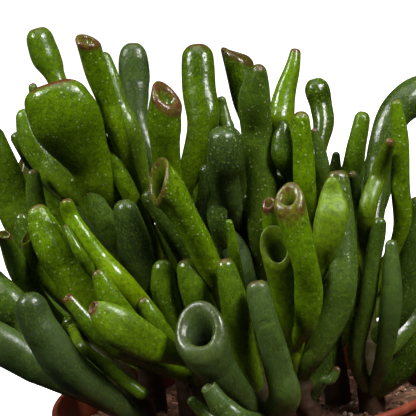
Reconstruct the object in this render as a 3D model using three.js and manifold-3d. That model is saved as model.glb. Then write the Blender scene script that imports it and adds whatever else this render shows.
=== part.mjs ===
// Trumpet jade in its pot: a Crassula with finger and trumpet leaves in a round nursery pot.
// Millimetres. The origin is the middle of the pot's underside, +Z is up, the front faces -Y.
import * as THREE from 'three';
import Module from 'manifold-3d';

// ---- driving dimensions -------------------------------------------------------------------
const POT_HEIGHT = 105;      // ground to rim
const RIM_RADIUS = 60;       // outside of the rolled lip
const FOOT_RADIUS = 42.5;    // outside of the body at the ground
const COLLAR_LOW = 85;       // height at which the collar band starts
const POT_SIDES = 36;
const DRAIN_HOLES = 8;
const DRAIN_RADIUS = 4;
const DRAIN_RING = 28;       // radius of the ring of drain holes
const SOIL_TOP = 94.5;       // mean height of the potting soil
const SOIL_LUMP = 0.8;       // how far the soil rises and falls
const STEM_FOOT = 84;        // lower end of every stem, inside its hole in the soil
const STEM_FREE = 99;        // a stem stands plumb up to this height, then leans
const CLEAR = 0.3;           // gap between parts that meet
const LEAF_GAP = 0.9;        // least gap the leaves settle to
const ROOT_START = 1.0;      // a leaf's solid starts this far from its stem's axis
// The eye from which the plant's leaves are set out: in front, a little above the rim.
const EYE = [-6.525, -871.096, 337.694];

const wasm = await Module();
wasm.setup();
const { Manifold, Mesh } = wasm;

// ---- vectors and curves -------------------------------------------------------------------
const add = (a, b, s = 1) => [a[0] + b[0] * s, a[1] + b[1] * s, a[2] + b[2] * s];
const dot = (a, b) => a[0] * b[0] + a[1] * b[1] + a[2] * b[2];
const cross = (a, b) => [
  a[1] * b[2] - a[2] * b[1], a[2] * b[0] - a[0] * b[2], a[0] * b[1] - a[1] * b[0]];
const unit = (a) => { const l = Math.hypot(...a) || 1; return a.map((v) => v / l); };
const clamp = (x, lo, hi) => Math.min(hi, Math.max(lo, x));

// A point set out from the eye: across and up (above the rim) on the upright plane through the
// pot's axis, then brought `near` mm along its sight line toward the eye.
function place([across, up, near]) {
  const q = [across, 0, up + POT_HEIGHT];
  return add(q, add(EYE, q, -1), near / -EYE[1]);
}

// Weights of a smooth curve through n points at position t (0 to 1): each span is the
// Catmull-Rom cubic, and the end points are mirrored to give the ends their slope.
function weights(n, t) {
  const x = clamp(t, 0, 1) * (n - 1);
  const i = Math.min(Math.floor(x), n - 2);
  const f = x - i;
  const c = [-0.5 * f + f * f - 0.5 * f ** 3, 1 - 2.5 * f * f + 1.5 * f ** 3,
    0.5 * f + 2 * f * f - 1.5 * f ** 3, -0.5 * f * f + 0.5 * f ** 3];
  const w = new Array(n + 2).fill(0);
  c.forEach((v, k) => { w[i + k] += v; });
  const out = w.slice(1, n + 1);
  out[0] += 2 * w[0];
  out[1] -= w[0];
  out[n - 1] += 2 * w[n + 1];
  out[n - 2] -= w[n + 1];
  return out;
}
const blend = (w, pts) => pts[0].map((_, k) => w.reduce((s, v, i) => s + v * pts[i][k], 0));
const blend1 = (w, values) => w.reduce((s, v, i) => s + v * values[i], 0);
function along(pts, t) {
  const h = 1e-4;
  const a = blend(weights(pts.length, clamp(t - h, 0, 1)), pts);
  const b = blend(weights(pts.length, clamp(t + h, 0, 1)), pts);
  return unit(add(b, a, -1));
}

// ---- solids -------------------------------------------------------------------------------
// Rings of points, each a loop counter-clockwise seen from the last ring, joined into one
// closed solid; a ring of one point is a pole.
function ringSolid(rings) {
  const verts = [];
  const tris = [];
  const starts = rings.map((ring) => {
    const at = verts.length / 3;
    ring.forEach((p) => verts.push(...p));
    return at;
  });
  for (let r = 0; r + 1 < rings.length; r += 1) {
    const a = rings[r].length;
    const b = rings[r + 1].length;
    const sides = Math.max(a, b);
    for (let i = 0; i < sides; i += 1) {
      const j = (i + 1) % sides;
      if (a === 1) tris.push(starts[r], starts[r + 1] + j, starts[r + 1] + i);
      else if (b === 1) tris.push(starts[r] + i, starts[r] + j, starts[r + 1]);
      else {
        tris.push(starts[r] + i, starts[r] + j, starts[r + 1] + j);
        tris.push(starts[r] + i, starts[r + 1] + j, starts[r + 1] + i);
      }
    }
  }
  return new Manifold(new Mesh({
    numProp: 3, vertProperties: new Float32Array(verts), triVerts: new Uint32Array(tris) }));
}

// A profile of [radius, height] points turned about the pot's axis; ends on the axis.
function turned(profile, sides) {
  return ringSolid(profile.map(([r, z]) => (r === 0 ? [[0, 0, z]]
    : Array.from({ length: sides }, (_, i) => {
      const a = (2 * Math.PI * i) / sides;
      return [r * Math.cos(a), r * Math.sin(a), z];
    }))));
}

// An upright round peg, used for holes.
function peg(x, y, radius, low, high, sides) {
  const loop = (z) => Array.from({ length: sides }, (_, i) => {
    const a = (2 * Math.PI * i) / sides;
    return [x + radius * Math.cos(a), y + radius * Math.sin(a), z];
  });
  return ringSolid([[[x, y, low]], loop(low), loop(high), [[x, y, high]]]);
}

// A named mesh with flat facets from a solid.
function part(name, solid, colour) {
  const m = solid.getMesh();
  const geometry = new THREE.BufferGeometry();
  const xyz = new Float32Array(m.numVert * 3);
  for (let i = 0; i < m.numVert; i += 1) {
    for (let k = 0; k < 3; k += 1) xyz[i * 3 + k] = m.vertProperties[i * m.numProp + k];
  }
  geometry.setAttribute('position', new THREE.BufferAttribute(xyz, 3));
  geometry.setIndex(new THREE.BufferAttribute(new Uint32Array(m.triVerts), 1));
  geometry.computeVertexNormals();
  const mesh = new THREE.Mesh(geometry, new THREE.MeshStandardMaterial({
    color: colour, roughness: 0.45, metalness: 0 }));
  mesh.name = name;
  return mesh;
}

// ---- the plant's table --------------------------------------------------------------------
// Every stem: radius at the foot, radius at the top, and its path as [across, up, near] points.
const STEMS = {
  left_low: [3.6, 2, [[-30, -8, 20], [-36, 2, 17], [-44, 14, 12], [-52, 26, 7]]],
  left_fan: [3.8, 2.6, [[-13, -8, 10], [-15, 3, 12], [-19, 12, 12], [-25, 25, 8]]],
  left_tall: [4, 2.4, [[-18, -8, -10], [-19, 15, -9], [-22, 38, -8], [-27, 58, -8]]],
  middle_left: [4, 2.6, [[-6, -8, -2], [-8, 12, -2], [-12, 34, -3], [-16, 56, -6]]],
  front: [3.8, 2.6, [[4, -8, 20], [2, 2, 20], [1, 10, 19], [1, 20, 17]]],
  middle_tall: [4, 2.4, [[7, -8, -12], [6, 15, -12], [4, 38, -12], [4, 58, -12]]],
  front_right: [3.8, 2.8, [[17, -8, 14], [14.5, 2, 15], [15, 12, 14], [18, 26, 10]]],
  right_tall: [4, 2.4, [[26, -8, -8], [25, 15, -8], [24, 38, -8], [24, 60, -9]]],
  far_right: [4, 2.6, [[36, -8, 6], [36, 8, 5], [38, 26, 2], [41, 42, -2]]],
  far_left: [3.8, 2.2, [[-33, -8, -6], [-38, 8, -7], [-46, 24, -8], [-53, 38, -9]]],
  back_left: [4, 2.4, [[-29, -8, -22], [-30, 12, -23], [-34, 28, -25], [-39, 44, -27]]],
  back_middle: [4, 2.4, [[-4, -8, -27], [-5, 14, -27], [-7, 32, -28], [-8, 50, -30]]],
  back_right: [4, 2.4, [[24, -8, -28], [25, 12, -28], [29, 28, -28], [33, 44, -28]]],
};

// Every leaf, stem by stem: how far up its stem it springs (0 foot to 1 top), its path, its
// width at the root and at each path point, its depth as a share of its width, and its tip: 0
// for a round-ended club, a power above 2 for a blunter one, or a trumpet mouth [side it faces in
// degrees right of the eye, slant from lip to lip, depth of the hollow, bore as a share of width].
const LEAVES = {
  left_low: [
    [0.05, [[-51.5, 9.5, 30], [-58.8, 21.5, 34], [-61.8, 29.5, 34], [-62.4, 36.2, 34]],
      [5, 11.5, 11.3, 10.6, 8], 0.75, 0],
    [0.12, [[-57.3, 9.3, 18], [-64.2, 13.7, 18], [-71.2, 19, 18], [-80, 26, 16]],
      [4, 8.5, 9, 9.5, 8], 0.7, 0],
    [0.95, [[-49, 18.5, 22], [-45, 13.8, 24], [-37, 5.6, 26], [-31, -0.2, 27]],
      [3, 3.2, 3.4, 3.8, 4.2], 0.9, 0],
    [0.5, [[-60.5, 21.5, 8], [-65.2, 26.6, 5.5], [-69.8, 31.4, 4], [-78, 41, 2]],
      [4, 7.2, 7.8, 8, 7.5], 0.8, 0],
  ],
  left_fan: [
    [0.3, [[-22, 13, 30], [-28, 16, 33], [-35.5, 21.5, 37], [-41, 26.5, 38], [-43.9, 29.1, 38]],
      [5, 8, 11, 12.5, 9, 4.2], 0.5, [-20, 1.5, 1.5, 0.7]],
    [0.35, [[-33, 13, 27], [-39.9, 18.3, 30], [-45.5, 24.5, 30], [-51.1, 33, 28]],
      [4, 6, 6, 5, 3.6], 0.6, [20, 1, 1, 0.7]],
    [0.5, [[-31, 19, 26], [-37.5, 29, 30], [-41.6, 40.6, 29]], [4, 8, 8, 3.6], 0.7, 0],
    [0.55, [[-25, 20.5, 24], [-29.3, 30.7, 24]], [4, 6, 4.5], 0.8, 0],
    [0.7, [[-33.5, 34, 22], [-40.4, 44.1, 22], [-44.7, 51.7, 22], [-47.3, 58.1, 20],
       [-48, 62.9, 18]],
      [5, 7, 6.5, 5.8, 4.7, 4], 0.8, 0],
    [0.8, [[-42, 29, 14], [-49.4, 40.6, 14], [-52.7, 47, 14], [-55.7, 55, 12], [-57.1, 62.3, 11]],
      [5, 11, 11.3, 10.8, 9, 5], 0.6, 0],
    [1, [[-28.5, 38, 13], [-29.8, 50, 14], [-31.5, 61, 12]], [4, 9.5, 9.8, 6], 0.8, 0],
    [0.5, [[-20.6, 22, 15], [-22.3, 32, 15], [-21.7, 41.6, 14]], [4, 6.5, 7.8, 6], 0.8, 0],
    [0.6, [[-41, 38, 24], [-45.8, 46, 24], [-49.4, 55.2, 20]], [3, 3.6, 3.4, 2], 0.8, 0],
  ],
  left_tall: [
    [1, [[-41.5, 84, -16], [-46.2, 97.8, -20], [-47.7, 102.6, -21.5], [-49.3, 106.9, -22.5],
       [-50.7, 114.7, -24]],
      [4, 5.4, 5.6, 7.4, 8.6, 7.6], 0.8, 2.2],
    [0.95, [[-36.2, 66, 1], [-39.9, 74.1, 5], [-44.9, 85.4, 9], [-47.3, 92.2, 10],
       [-48.3, 98.1, 10]],
      [5, 11, 13.7, 20.4, 18.8, 15], 0.45, 3.2],
    [0.85, [[-46.5, 66, -8], [-53, 75, -12], [-56.3, 82, -14], [-57.6, 91.3, -16]],
      [4, 7.5, 8.5, 7.5, 4.5], 0.8, 0],
    [0.75, [[-46, 64, -16], [-55, 74.5, -20], [-61.3, 84.3, -22]], [4, 6, 5.5, 3], 0.8, 0],
    [0.95, [[-30.6, 79.8, 5], [-32.5, 90.1, 8], [-34.6, 99.3, 9], [-36.1, 108.4, 10]],
      [5, 6.2, 6.3, 7, 7.2], 0.8, [62, 3.5, 1, 0.45]],
    [0.7, [[-29, 62, 4], [-32, 71, 4], [-34, 80.3, 3]], [4, 5.5, 4.5, 2.6], 0.8, 0],
    [0.9, [[-27.4, 79, -6], [-29.3, 89, -8], [-31, 97, -10], [-32.3, 105.4, -12]],
      [4, 6, 6, 5.6, 3.6], 0.8, 0],
    [0.6, [[-33, 48, 2], [-38, 57, 4], [-39.9, 64.6, 4]], [4, 7.5, 6.5, 4], 0.7, [0, -1, 1, 0.7]],
    [0.65, [[-37, 54, -3], [-42.5, 62, -3], [-45.5, 69, -3]], [4, 6, 4.5, 2.4], 0.8, 0],
    [0.6, [[-40, 55, -8], [-46, 64, -9], [-49.3, 72.5, -9]], [4, 6, 5, 3], 0.8, 0],
    [0.9, [[-47, 78, -3], [-52.5, 90, -4], [-53.9, 98.5, -5]], [3, 3.6, 3.4, 2.4], 0.8, 0],
  ],
  middle_left: [
    [0.35, [[-7.2, 32, 16], [-10.2, 44.7, 22], [-13.3, 52.8, 25], [-16.6, 60.5, 27],
       [-19.8, 64.8, 28]],
      [5, 7.5, 8.6, 8.4, 10.2, 12.4], 1, [-75, 8, 7, 0.7]],
    [0.9, [[-23.5, 80, -16], [-23.9, 91.7, -20], [-23.8, 97, -22], [-23.5, 102.5, -23],
       [-23, 107.2, -24]],
      [4, 4.6, 7.4, 9, 8.2, 6], 0.7, 2.2],
    [0.85, [[-16.8, 66, 5], [-17, 74, 9], [-16.7, 81, 12], [-15.6, 87, 14], [-14.4, 88.8, 15]],
      [5, 8, 9, 10, 10, 9.8], 0.9, [54, 6, 2.2, 0.5]],
    [1, [[-5.8, 78, -10], [-5.2, 92, -15], [-4.4, 104.8, -18]], [4, 9.3, 9.9, 8.4], 0.6, 2.2],
    [0.12, [[-9, 16, 14], [-13, 30, 20], [-15.4, 40.9, 20]], [4, 7.5, 8.6, 4.6], 0.8, 0],
    [0.6, [[-16, 46, 4], [-19.5, 55, 5], [-24.5, 63, 6]], [4, 7, 7.5, 6], 0.8, 0],
    [0.7, [[-9, 50, -3], [-6, 60, -5], [-5.6, 69, -6]], [4, 6.5, 6.3, 5.5], 0.8, 0],
  ],
  front: [
    [0, [[-5, 0, 33], [-10, 8, 37], [-13, 15.2, 39]], [6, 9.5, 12.5, 16], 0.9, [-10, 17, 12, 0.74]],
    [0.15, [[-0.5, 10, 24], [-1.9, 26, 28], [-3.6, 39.9, 27]], [5, 7.5, 8.4, 5], 0.8, 0],
    [0.02, [[10, -5, 31], [9.4, 3.5, 33], [7.9, 14, 35], [6.3, 23, 35], [5.4, 32.1, 34]],
      [6, 9.6, 9, 8, 7.4, 6.7], 0.7, 2.3],
    [0, [[-3, -11, 40], [-8.5, -6, 42], [-12.2, 0.8, 42]], [5, 7.5, 7.5, 5], 0.7, [0, 1, 1, 0.7]],
    [0, [[-10, -10, 32], [-15, -6, 32], [-18.6, -1.6, 32]], [3, 3.5, 4, 3], 0.8, 0],
    [1, [[0, 32, 14], [-0.3, 42, 13], [-0.9, 51.5, 12]], [3, 4, 3.5, 2.2], 0.8, 0],
  ],
  middle_tall: [
    [0.7, [[-1, 62, 4], [0, 70, 10], [0.6, 76.8, 12]],
      [5, 9.6, 10.4, 10.2], 0.9, [0, 3.5, 1.6, 0.4]],
    [0.5, [[-3.5, 48, 2], [-3.3, 57, 4], [-2.6, 64, 4]], [4, 6, 6, 4.4], 0.8, 0],
    [0.95, [[3, 72, -11], [1.6, 79, -13], [1, 85, -14.5], [0.9, 88.5, -15]],
      [3.5, 5.4, 4.4, 3.4, 2.6], 0.8, 0],
    [1, [[9, 76, -16], [8, 87, -22], [6.8, 99.2, -26]], [4, 6.6, 7.8, 8.5], 0.8, [70, 6, 1.2, 0.5]],
    [0.9, [[10.5, 66, 0], [10.3, 76, 3], [10.5, 85.5, 4], [11.4, 90.3, 4], [13.2, 96.6, 4]],
      [5, 9, 9.6, 10, 8.6, 3.6], 0.8, 0],
    [0.3, [[2, 32, 0], [0, 42, 0], [-4.5, 49.6, 0]], [4, 7, 7.5, 4.6], 0.7, 0],
    [0.55, [[7, 46, -4], [8.5, 58, -3], [9.5, 70, -4]], [4, 7.5, 7.5, 6], 0.8, 0],
  ],
  front_right: [
    [0.32, [[15.4, 11.5, 22], [18.6, 17.5, 26], [20.6, 26, 29], [20.4, 36.5, 31], [17.6, 54.4, 31]],
      [3.4, 3.6, 6.4, 8.2, 7.8, 9.7], 0.75, [-15, 8, 6, 0.36]],
    [0.3, [[13.4, 14, 20], [13.2, 27, 26], [12, 41, 31]],
      [3.6, 4.5, 6, 9.4], 0.7, [0, 11.5, 5, 0.66]],
    [0.6, [[12.4, 30, 20], [11.6, 44, 24], [11.6, 54.4, 25]],
      [3, 4.5, 5.5, 4.2], 0.8, [-20, 3, 2, 0.5]],
    [0.9, [[25.6, 34, 19], [27.3, 41.5, 20], [29.9, 49.5, 21], [30.4, 55.1, 20.5], [31, 60.7, 20]],
      [4, 4, 8.6, 10.2, 7.2, 3], 0.5, 0],
    [0.28, [[21, 8.3, 21], [27.3, 18.4, 22], [30.7, 28, 21], [32.2, 42, 18], [32.7, 62.6, 13]],
      [4.5, 6.6, 8.6, 9, 8, 6.2], 0.7, 2.4],
    [1, [[34.8, 38, 10], [37.2, 50, 10], [37.2, 61.7, 10]], [3.6, 4.4, 4.4, 3], 0.8, 0],
    [0.1, [[17.5, -3.5, 12], [21.5, 3, 11], [26, 14, 9], [29, 24, 6]], [6, 7.5, 7.5, 7, 4], 0.8, 0],
    [0.02, [[21.5, -1.5, 19], [24.5, -0.6, 20], [27.2, 2.8, 20]], [2.4, 2.6, 3.2, 2.4], 0.8, 0],
  ],
  right_tall: [
    [1, [[18.2, 76, -4], [18.4, 82.5, -6], [20, 88, -8], [22.7, 94.5, -10], [24.3, 100, -12]],
      [4, 6.8, 7.4, 6, 4.5, 2.9], 0.9, 2.6],
    [0.9, [[17.5, 62, -4], [16.2, 70, -5], [18.5, 79, -6]], [4, 7, 6.5, 3], 0.6, 0],
    [0.95, [[28, 70, -16], [30, 76.7, -20], [29.8, 82.4, -23], [29.2, 86.8, -24],
       [28.5, 90.8, -25]],
      [4, 5, 6, 6.6, 7.4, 6.6], 0.9, 2.1],
    [0.55, [[22.8, 55, 8], [23.2, 68, 10], [23.7, 81.5, 10]], [5, 6.6, 6.2, 4.4], 0.9, 0],
    [0.75, [[27.8, 60, 2], [28.3, 68, 3], [27, 76, 3]], [3.5, 4.4, 3.8, 1.8], 0.9, 0],
    [0.8, [[31, 56, -8], [32, 62, -9], [33, 68.2, -10]], [3.5, 5, 4, 2], 0.8, 0],
    [0.7, [[35.8, 60, -2], [39.3, 70, -1], [42.2, 79.4, -2]], [4, 6, 6, 4.4], 0.9, 0],
    [0.95, [[17.6, 70, 2], [16.9, 74, 3], [16.5, 77.5, 3]], [3.5, 4, 4, 3], 0.8, 0],
    [0.4, [[29, 36, 2], [32, 48, 2], [34, 58, 0]], [4, 7, 7, 5], 0.8, 0],
    [0.45, [[19, 36, -2], [16, 46, -4], [13.5, 60, -4]], [4, 7, 8, 6], 0.8, 0],
  ],
  far_right: [
    [0.85, [[44.5, 60, -14], [47.5, 70, -17], [51.5, 77.5, -20], [57.8, 82, -23], [64, 84, -26]],
      [5, 7.5, 8.5, 10, 10.5, 9], 0.8, 0],
    [0.6, [[49.3, 40, 8], [50.9, 56.6, 12], [52.2, 70, 14], [52, 81.8, 14]],
      [4, 5.4, 5.5, 5, 3.2], 0.9, 0],
    [0.7, [[40, 48, 14], [45, 60, 19], [49.4, 70, 21]], [4, 5.4, 5, 3], 0.9, 0],
    [0, [[32.8, 6, 14], [37.5, 22, 19], [40.7, 34.9, 20], [42.8, 42.3, 20], [44.2, 46.9, 20]],
      [4, 5.6, 5.6, 4.8, 4.7, 3.6], 0.9, 0],
    [0, [[40.8, 4, 18], [44.8, 22, 22], [46.6, 40, 20]], [4, 5.6, 6.8, 3.4], 0.9, 0],
    [0.35, [[47, 18, 8], [52, 34, 8], [56, 52, 8]], [4, 7.5, 8, 6], 0.9, 0],
    [0, [[44, -2, 12], [51, 5, 14], [60, 15, 14]], [4, 7, 8, 6], 0.8, 0],
    [0.6, [[50, 38, -8], [60, 50, -11], [67, 62, -14]], [4, 7, 8, 7], 0.8, [40, 5, 4, 0.6]],
    [0.5, [[52, 28, -2], [62, 38, -2], [70, 54, -4]], [4, 8, 9, 7], 0.7, 0],
    [0.2, [[48, 12, -6], [60, 20, -10], [74, 30, -14]], [4, 8, 9, 8], 0.7, 0],
  ],
  far_left: [
    [0.35, [[-57.5, 28, 8.5], [-63.8, 42, 11], [-67.6, 54.2, 9]],
      [4, 7, 7.4, 3.8], 0.7, [60, 2, 1, 0.7]],
    [0.7, [[-56, 38, 4], [-60, 45.5, 6], [-60.7, 52.4, 6]],
      [4, 5.5, 5.6, 5], 0.7, [-70, 4, 2, 0.7]],
    [0.9, [[-58.5, 46, 1], [-61.8, 54, 0], [-61.4, 60.3, -1]], [4, 6, 5.5, 3.6], 0.8, 0],
    [1, [[-58, 54, -9], [-62, 64, -11], [-65.5, 76, -13], [-68.5, 87.5, -14]],
      [4, 8, 9.5, 9, 7], 0.8, 0],
    [1, [[-56, 52, -4], [-57, 62, -4], [-56.7, 73, -4]], [4, 6.5, 6, 3.6], 0.8, 0],
  ],
  back_left: [
    [1, [[-41, 56, -27], [-44, 70, -29], [-46, 86, -30]], [4, 8, 9, 8], 0.7, [150, 6, 5, 0.6]],
  ],
  back_middle: [
    [1, [[-7, 60, -30], [-6, 76, -33], [-5, 92, -34]], [4, 7.5, 8, 7], 0.8, 0],
    [0.9, [[-12, 54, -32], [-17, 68, -34], [-17.8, 84, -36]],
      [4, 7.5, 8, 7], 0.8, [170, 5, 5, 0.6]],
  ],
  back_right: [
    [0.9, [[24, 50, -30], [17, 66, -32], [11, 86, -33]], [4, 7, 8, 6.6], 0.8, 0],
    [1, [[31, 52, -28], [25, 62, -28], [23.5, 76, -28]], [4, 6.5, 6.5, 5], 0.8, 0],
    [1, [[40, 50, -30], [45, 60, -30], [48.5, 71, -31]], [4, 7, 8, 7], 0.8, [160, 5, 5, 0.6]],
  ],
};

// Leaves around the back of the plant follow a rule: up each back stem they turn by the golden
// angle, the low ones reach out wide, the high ones stand up, and every third is a trumpet.
const BACK = { back_left: -1, back_middle: 0, back_right: 1 };
const BACK_LEAVES = 8;
const seeded = (i, j) => {
  const v = Math.sin(i * 12.9898 + j * 78.233 + 1.7) * 43758.5453;
  return v - Math.floor(v);
};

// The stem's path with its first point moved to the height at which it leaves the soil.
function stemPath(name) {
  const pts = STEMS[name][2].map((p) => [...p]);
  const s = pts[0][2] / -EYE[1];
  pts[0][1] = (STEM_FREE - EYE[2] * s) / (1 - s) - POT_HEIGHT;
  return pts;
}

Object.entries(BACK).forEach(([name, lean], q) => {
  for (let j = 0; j < BACK_LEAVES; j += 1) {
    const k = 0.12 + (0.8 * j) / (BACK_LEAVES - 1);
    const turn = j * 2.4 + 3;
    const path = stemPath(name);
    const root = blend(weights(path.length, k), path);
    const side = Math.sin(turn);
    const back = 0.5 + 0.5 * Math.cos(turn);
    const length = 46 - 14 * k + 6 * seeded(q, j);
    const reach = 0.75 - 0.45 * k;
    const tip = [root[0] + length * (0.93 * side * reach + 0.25 * lean),
      root[1] + length * (0.6 + 0.35 * k) + 3,
      root[2] - length * (0.15 + 0.85 * back) * reach - 2];
    const mid = [root[0] * 0.45 + tip[0] * 0.55, root[1] * 0.5 + tip[1] * 0.5,
      root[2] * 0.4 + tip[2] * 0.6];
    const wide = 6.5 + 2.5 * seeded(q + 5, j);
    LEAVES[name].push([k, [mid, tip], [4, wide, wide * 0.8], 0.8,
      j % 3 ? 0 : [side < 0 ? -60 : 60, 5, 4, 0.6]]);
  }
});

// ---- settling the leaves ------------------------------------------------------------------
// Leaves that would cross are slid apart along their sight lines, so their outline from the
// eye stays as set out. Each leaf is sampled by three lanes of balls; stems stand still.
const leaves = [];
Object.entries(LEAVES).forEach(([stem, rows]) => rows.forEach((row) => {
  const path = stemPath(stem);
  const root = blend(weights(path.length, row[0]), path);
  leaves.push({ stem, path: [root, ...row[1].map((p) => [...p])],
    width: row[2], depth: row[3], mouth: row[4], back: false });
}));

// Share of the leaf's own depth ratio that is reached at t; the root is round.
const depthAt = (depth, t) => 1 + (depth - 1) * clamp(t / 0.5, 0, 1);

function settle() {
  const balls = [];
  leaves.forEach((leaf, owner) => {
    const n = leaf.path.length;
    for (const lane of [-1, 0, 1]) {
      for (let s = 0; s < 9; s += 1) {
        const t = (s + 0.6) / 9;
        const w = weights(n, t);
        const p = blend(w, leaf.path);
        const dir = along(leaf.path.map(([a, u, c]) => [a, u, c]), t);
        const half = blend1(w, leaf.width) / 2;
        const r = Math.min(half, half * depthAt(leaf.depth, t));
        const l = Math.hypot(dir[0], dir[1]) + 1e-9;
        const off = ((half - r) * lane) / l;
        balls.push({ owner, stem: leaf.stem, t, w, r, x: p[0] - dir[1] * off, y: p[1] + dir[0] * off });
      }
    }
  });
  Object.entries(STEMS).forEach(([stem, [low, high]], q) => {
    const path = stemPath(stem);
    for (let s = 0; s < 14; s += 1) {
      const t = s / 13;
      const p = blend(weights(path.length, t), path);
      balls.push({ owner: leaves.length + q, stem, t: 1, fixed: p[2],
        r: low + (high - low) * t, x: p[0], y: p[1] });
    }
  });
  const depthOf = (b) => (b.fixed !== undefined ? b.fixed
    : blend1(b.w, leaves[b.owner].path.map((p) => p[2])));
  const pairs = [];
  const order = new Map();
  for (let i = 0; i < balls.length; i += 1) {
    for (let j = i + 1; j < balls.length; j += 1) {
      const a = balls[i];
      const b = balls[j];
      if (a.owner === b.owner || (a.fixed !== undefined && b.fixed !== undefined)) continue;
      if (a.stem === b.stem
        && (a.t < 0.5 || b.t < 0.5 || a.fixed !== undefined || b.fixed !== undefined)) continue;
      const need = a.r + b.r + LEAF_GAP;
      const d2 = (a.x - b.x) ** 2 + (a.y - b.y) ** 2;
      if (d2 >= need * need) continue;
      const want = Math.sqrt(need * need - d2);
      const key = a.owner * 1000 + b.owner;
      order.set(key, (order.get(key) || 1e-6) + (depthOf(a) - depthOf(b)) * want);
      pairs.push({ a, b, want, key });
    }
  }
  for (let round = 0; round < 160; round += 1) {
    const push = leaves.map((l) => l.path.map(() => 0));
    const load = leaves.map((l) => l.path.map(() => 0.3));
    for (const b of balls) b.z = depthOf(b);
    for (const { a, b, want, key } of pairs) {
      const sign = Math.sign(order.get(key));
      const short = want - sign * (a.z - b.z);
      if (short <= 0) continue;
      const free = (a.fixed === undefined) + (b.fixed === undefined);
      for (const [ball, way] of [[a, sign], [b, -sign]]) {
        if (ball.fixed !== undefined) continue;
        ball.w.forEach((w, k) => {
          push[ball.owner][k] += (w * way * short) / free;
          load[ball.owner][k] += w * w;
        });
      }
    }
    leaves.forEach((leaf, i) => leaf.path.forEach((p, k) => {
      if (k > 0) p[2] += (0.8 * push[i][k]) / load[i][k];
    }));
  }
}
settle();

// ---- leaves and stems as solids -----------------------------------------------------------
// A leaf is rings along its path. Across the sight line a ring is as wide as the table says,
// along it the depth ratio times that. A club closes with a superelliptic dome; a trumpet's last
// rings are sheared by its slant, then turn over a rounded lip into the hollow. The few-sided
// rings are plumped to the area of the round ones.
function leafSolid({ path, width, depth, mouth }) {
  const pts = path.map(place);
  const wide = width.map((w, i) => w * (1 - path[i][2] / -EYE[1]));
  const last = wide[wide.length - 1];
  const length = pts.slice(1).reduce((s, p, i) => s + Math.hypot(...add(p, pts[i], -1)), 0);
  const broad = Math.max(...wide);
  const sides = broad > 11.5 ? 10 : broad > 8.7 ? 8 : 6;
  const plump = Math.sqrt((2 * Math.PI) / sides / Math.sin((2 * Math.PI) / sides));
  const root = ROOT_START / length;
  const trumpet = Array.isArray(mouth);
  const blunt = trumpet ? 0 : mouth || 2;
  const speed = 1000 * Math.hypot(...add(blend(weights(pts.length, 0.999), pts), pts.at(-1), -1));
  const cap = Math.min((1.1 / blunt) * last, 0.45 * length);
  const end = trumpet ? 1 : Math.max(0.6, 1 - cap / speed);
  const spans = Math.max(trumpet ? 4 : 3, pts.length - 1);
  const plan = [[root, 1, 0]];
  for (let i = 1; i <= spans; i += 1) plan.push([(end * i) / spans, 1, 0]);
  if (trumpet) {
    const [, , hollow, bore] = mouth;
    plan.push([1, (1 + bore) / 2, last * 0.3 * (1 - bore)], [1, bore, 0]);
    plan.push([1, bore * 0.62, -0.7 * hollow], [1, 0, -hollow]);
  } else {
    plan.push([end + (1 - end) * 0.66, (1 - 0.66 ** blunt) ** (1 / blunt), 0], [1, 0, 0]);
  }
  const eyeward = unit(add(EYE, pts[pts.length - 1], -1));
  const [facing, slant] = trumpet ? mouth : [0, 0];
  const turn = (facing * Math.PI) / 180;
  const rings = plan.map(([t, share, level]) => {
    const w = weights(pts.length, t);
    const c = blend(w, pts);
    const dir = along(pts, t);
    const away = unit(add(eyeward, dir, -dot(eyeward, dir))).map((v) => -v);
    const right = cross(away, dir);
    const half = (blend1(w, wide) / 2) * share * plump;
    const x = clamp((t - 0.45) / 0.55, 0, 1);
    const shear = (slant / 2) * x * x * (3 - 2 * x) * share;
    if (share === 0) return [add(c, dir, level)];
    return Array.from({ length: sides }, (_, i) => {
      const a = (2 * Math.PI * i) / sides;
      const across = Math.cos(a);
      const back = Math.sin(a);
      let p = add(c, right, half * across);
      p = add(p, away, half * depthAt(depth, t) * back);
      return add(p, dir, level - shear * (across * Math.sin(turn) - back * Math.cos(turn)));
    });
  });
  return ringSolid([[blend(weights(pts.length, root), pts)], ...rings]);
}

// A stem: plumb in its hole, then along its path, with a low rounded top.
function stemSolid(name) {
  const [low, high] = STEMS[name];
  const pts = stemPath(name).map(place);
  const stations = [0.2, 0.42, 0.65, 0.85, 1];
  const loop = (c, dir, r) => {
    const a = unit(cross([0, 1, 0], dir));
    const b = cross(dir, a);
    return Array.from({ length: 8 }, (_, i) => {
      const q = (2 * Math.PI * i) / 8;
      return add(add(c, a, r * Math.cos(q)), b, r * Math.sin(q));
    });
  };
  const up = [0, 0, 1];
  const foot = [pts[0][0], pts[0][1], STEM_FOOT];
  const rings = [[foot], loop(foot, up, low), loop(pts[0], up, low)];
  for (const t of stations) {
    const c = blend(weights(pts.length, t), pts);
    rings.push(loop(c, along(pts, t), low + (high - low) * t));
  }
  rings.push([add(pts[pts.length - 1], along(pts, 1), high * 0.8)]);
  return ringSolid(rings);
}

const LEAF_COLOUR = {
  left_low: 0x4a5c33, left_fan: 0x5a8410, left_tall: 0x4a7410, middle_left: 0x456c12,
  front: 0x46602a, middle_tall: 0x2f4a12, front_right: 0x6a8c14, right_tall: 0x517a14,
  far_right: 0x3c5a18, far_left: 0x4c7214, back_left: 0x41641a, back_middle: 0x3d5f16,
  back_right: 0x41641a };

const group = new THREE.Group();
group.name = 'trumpet_jade_in_pot';

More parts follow.
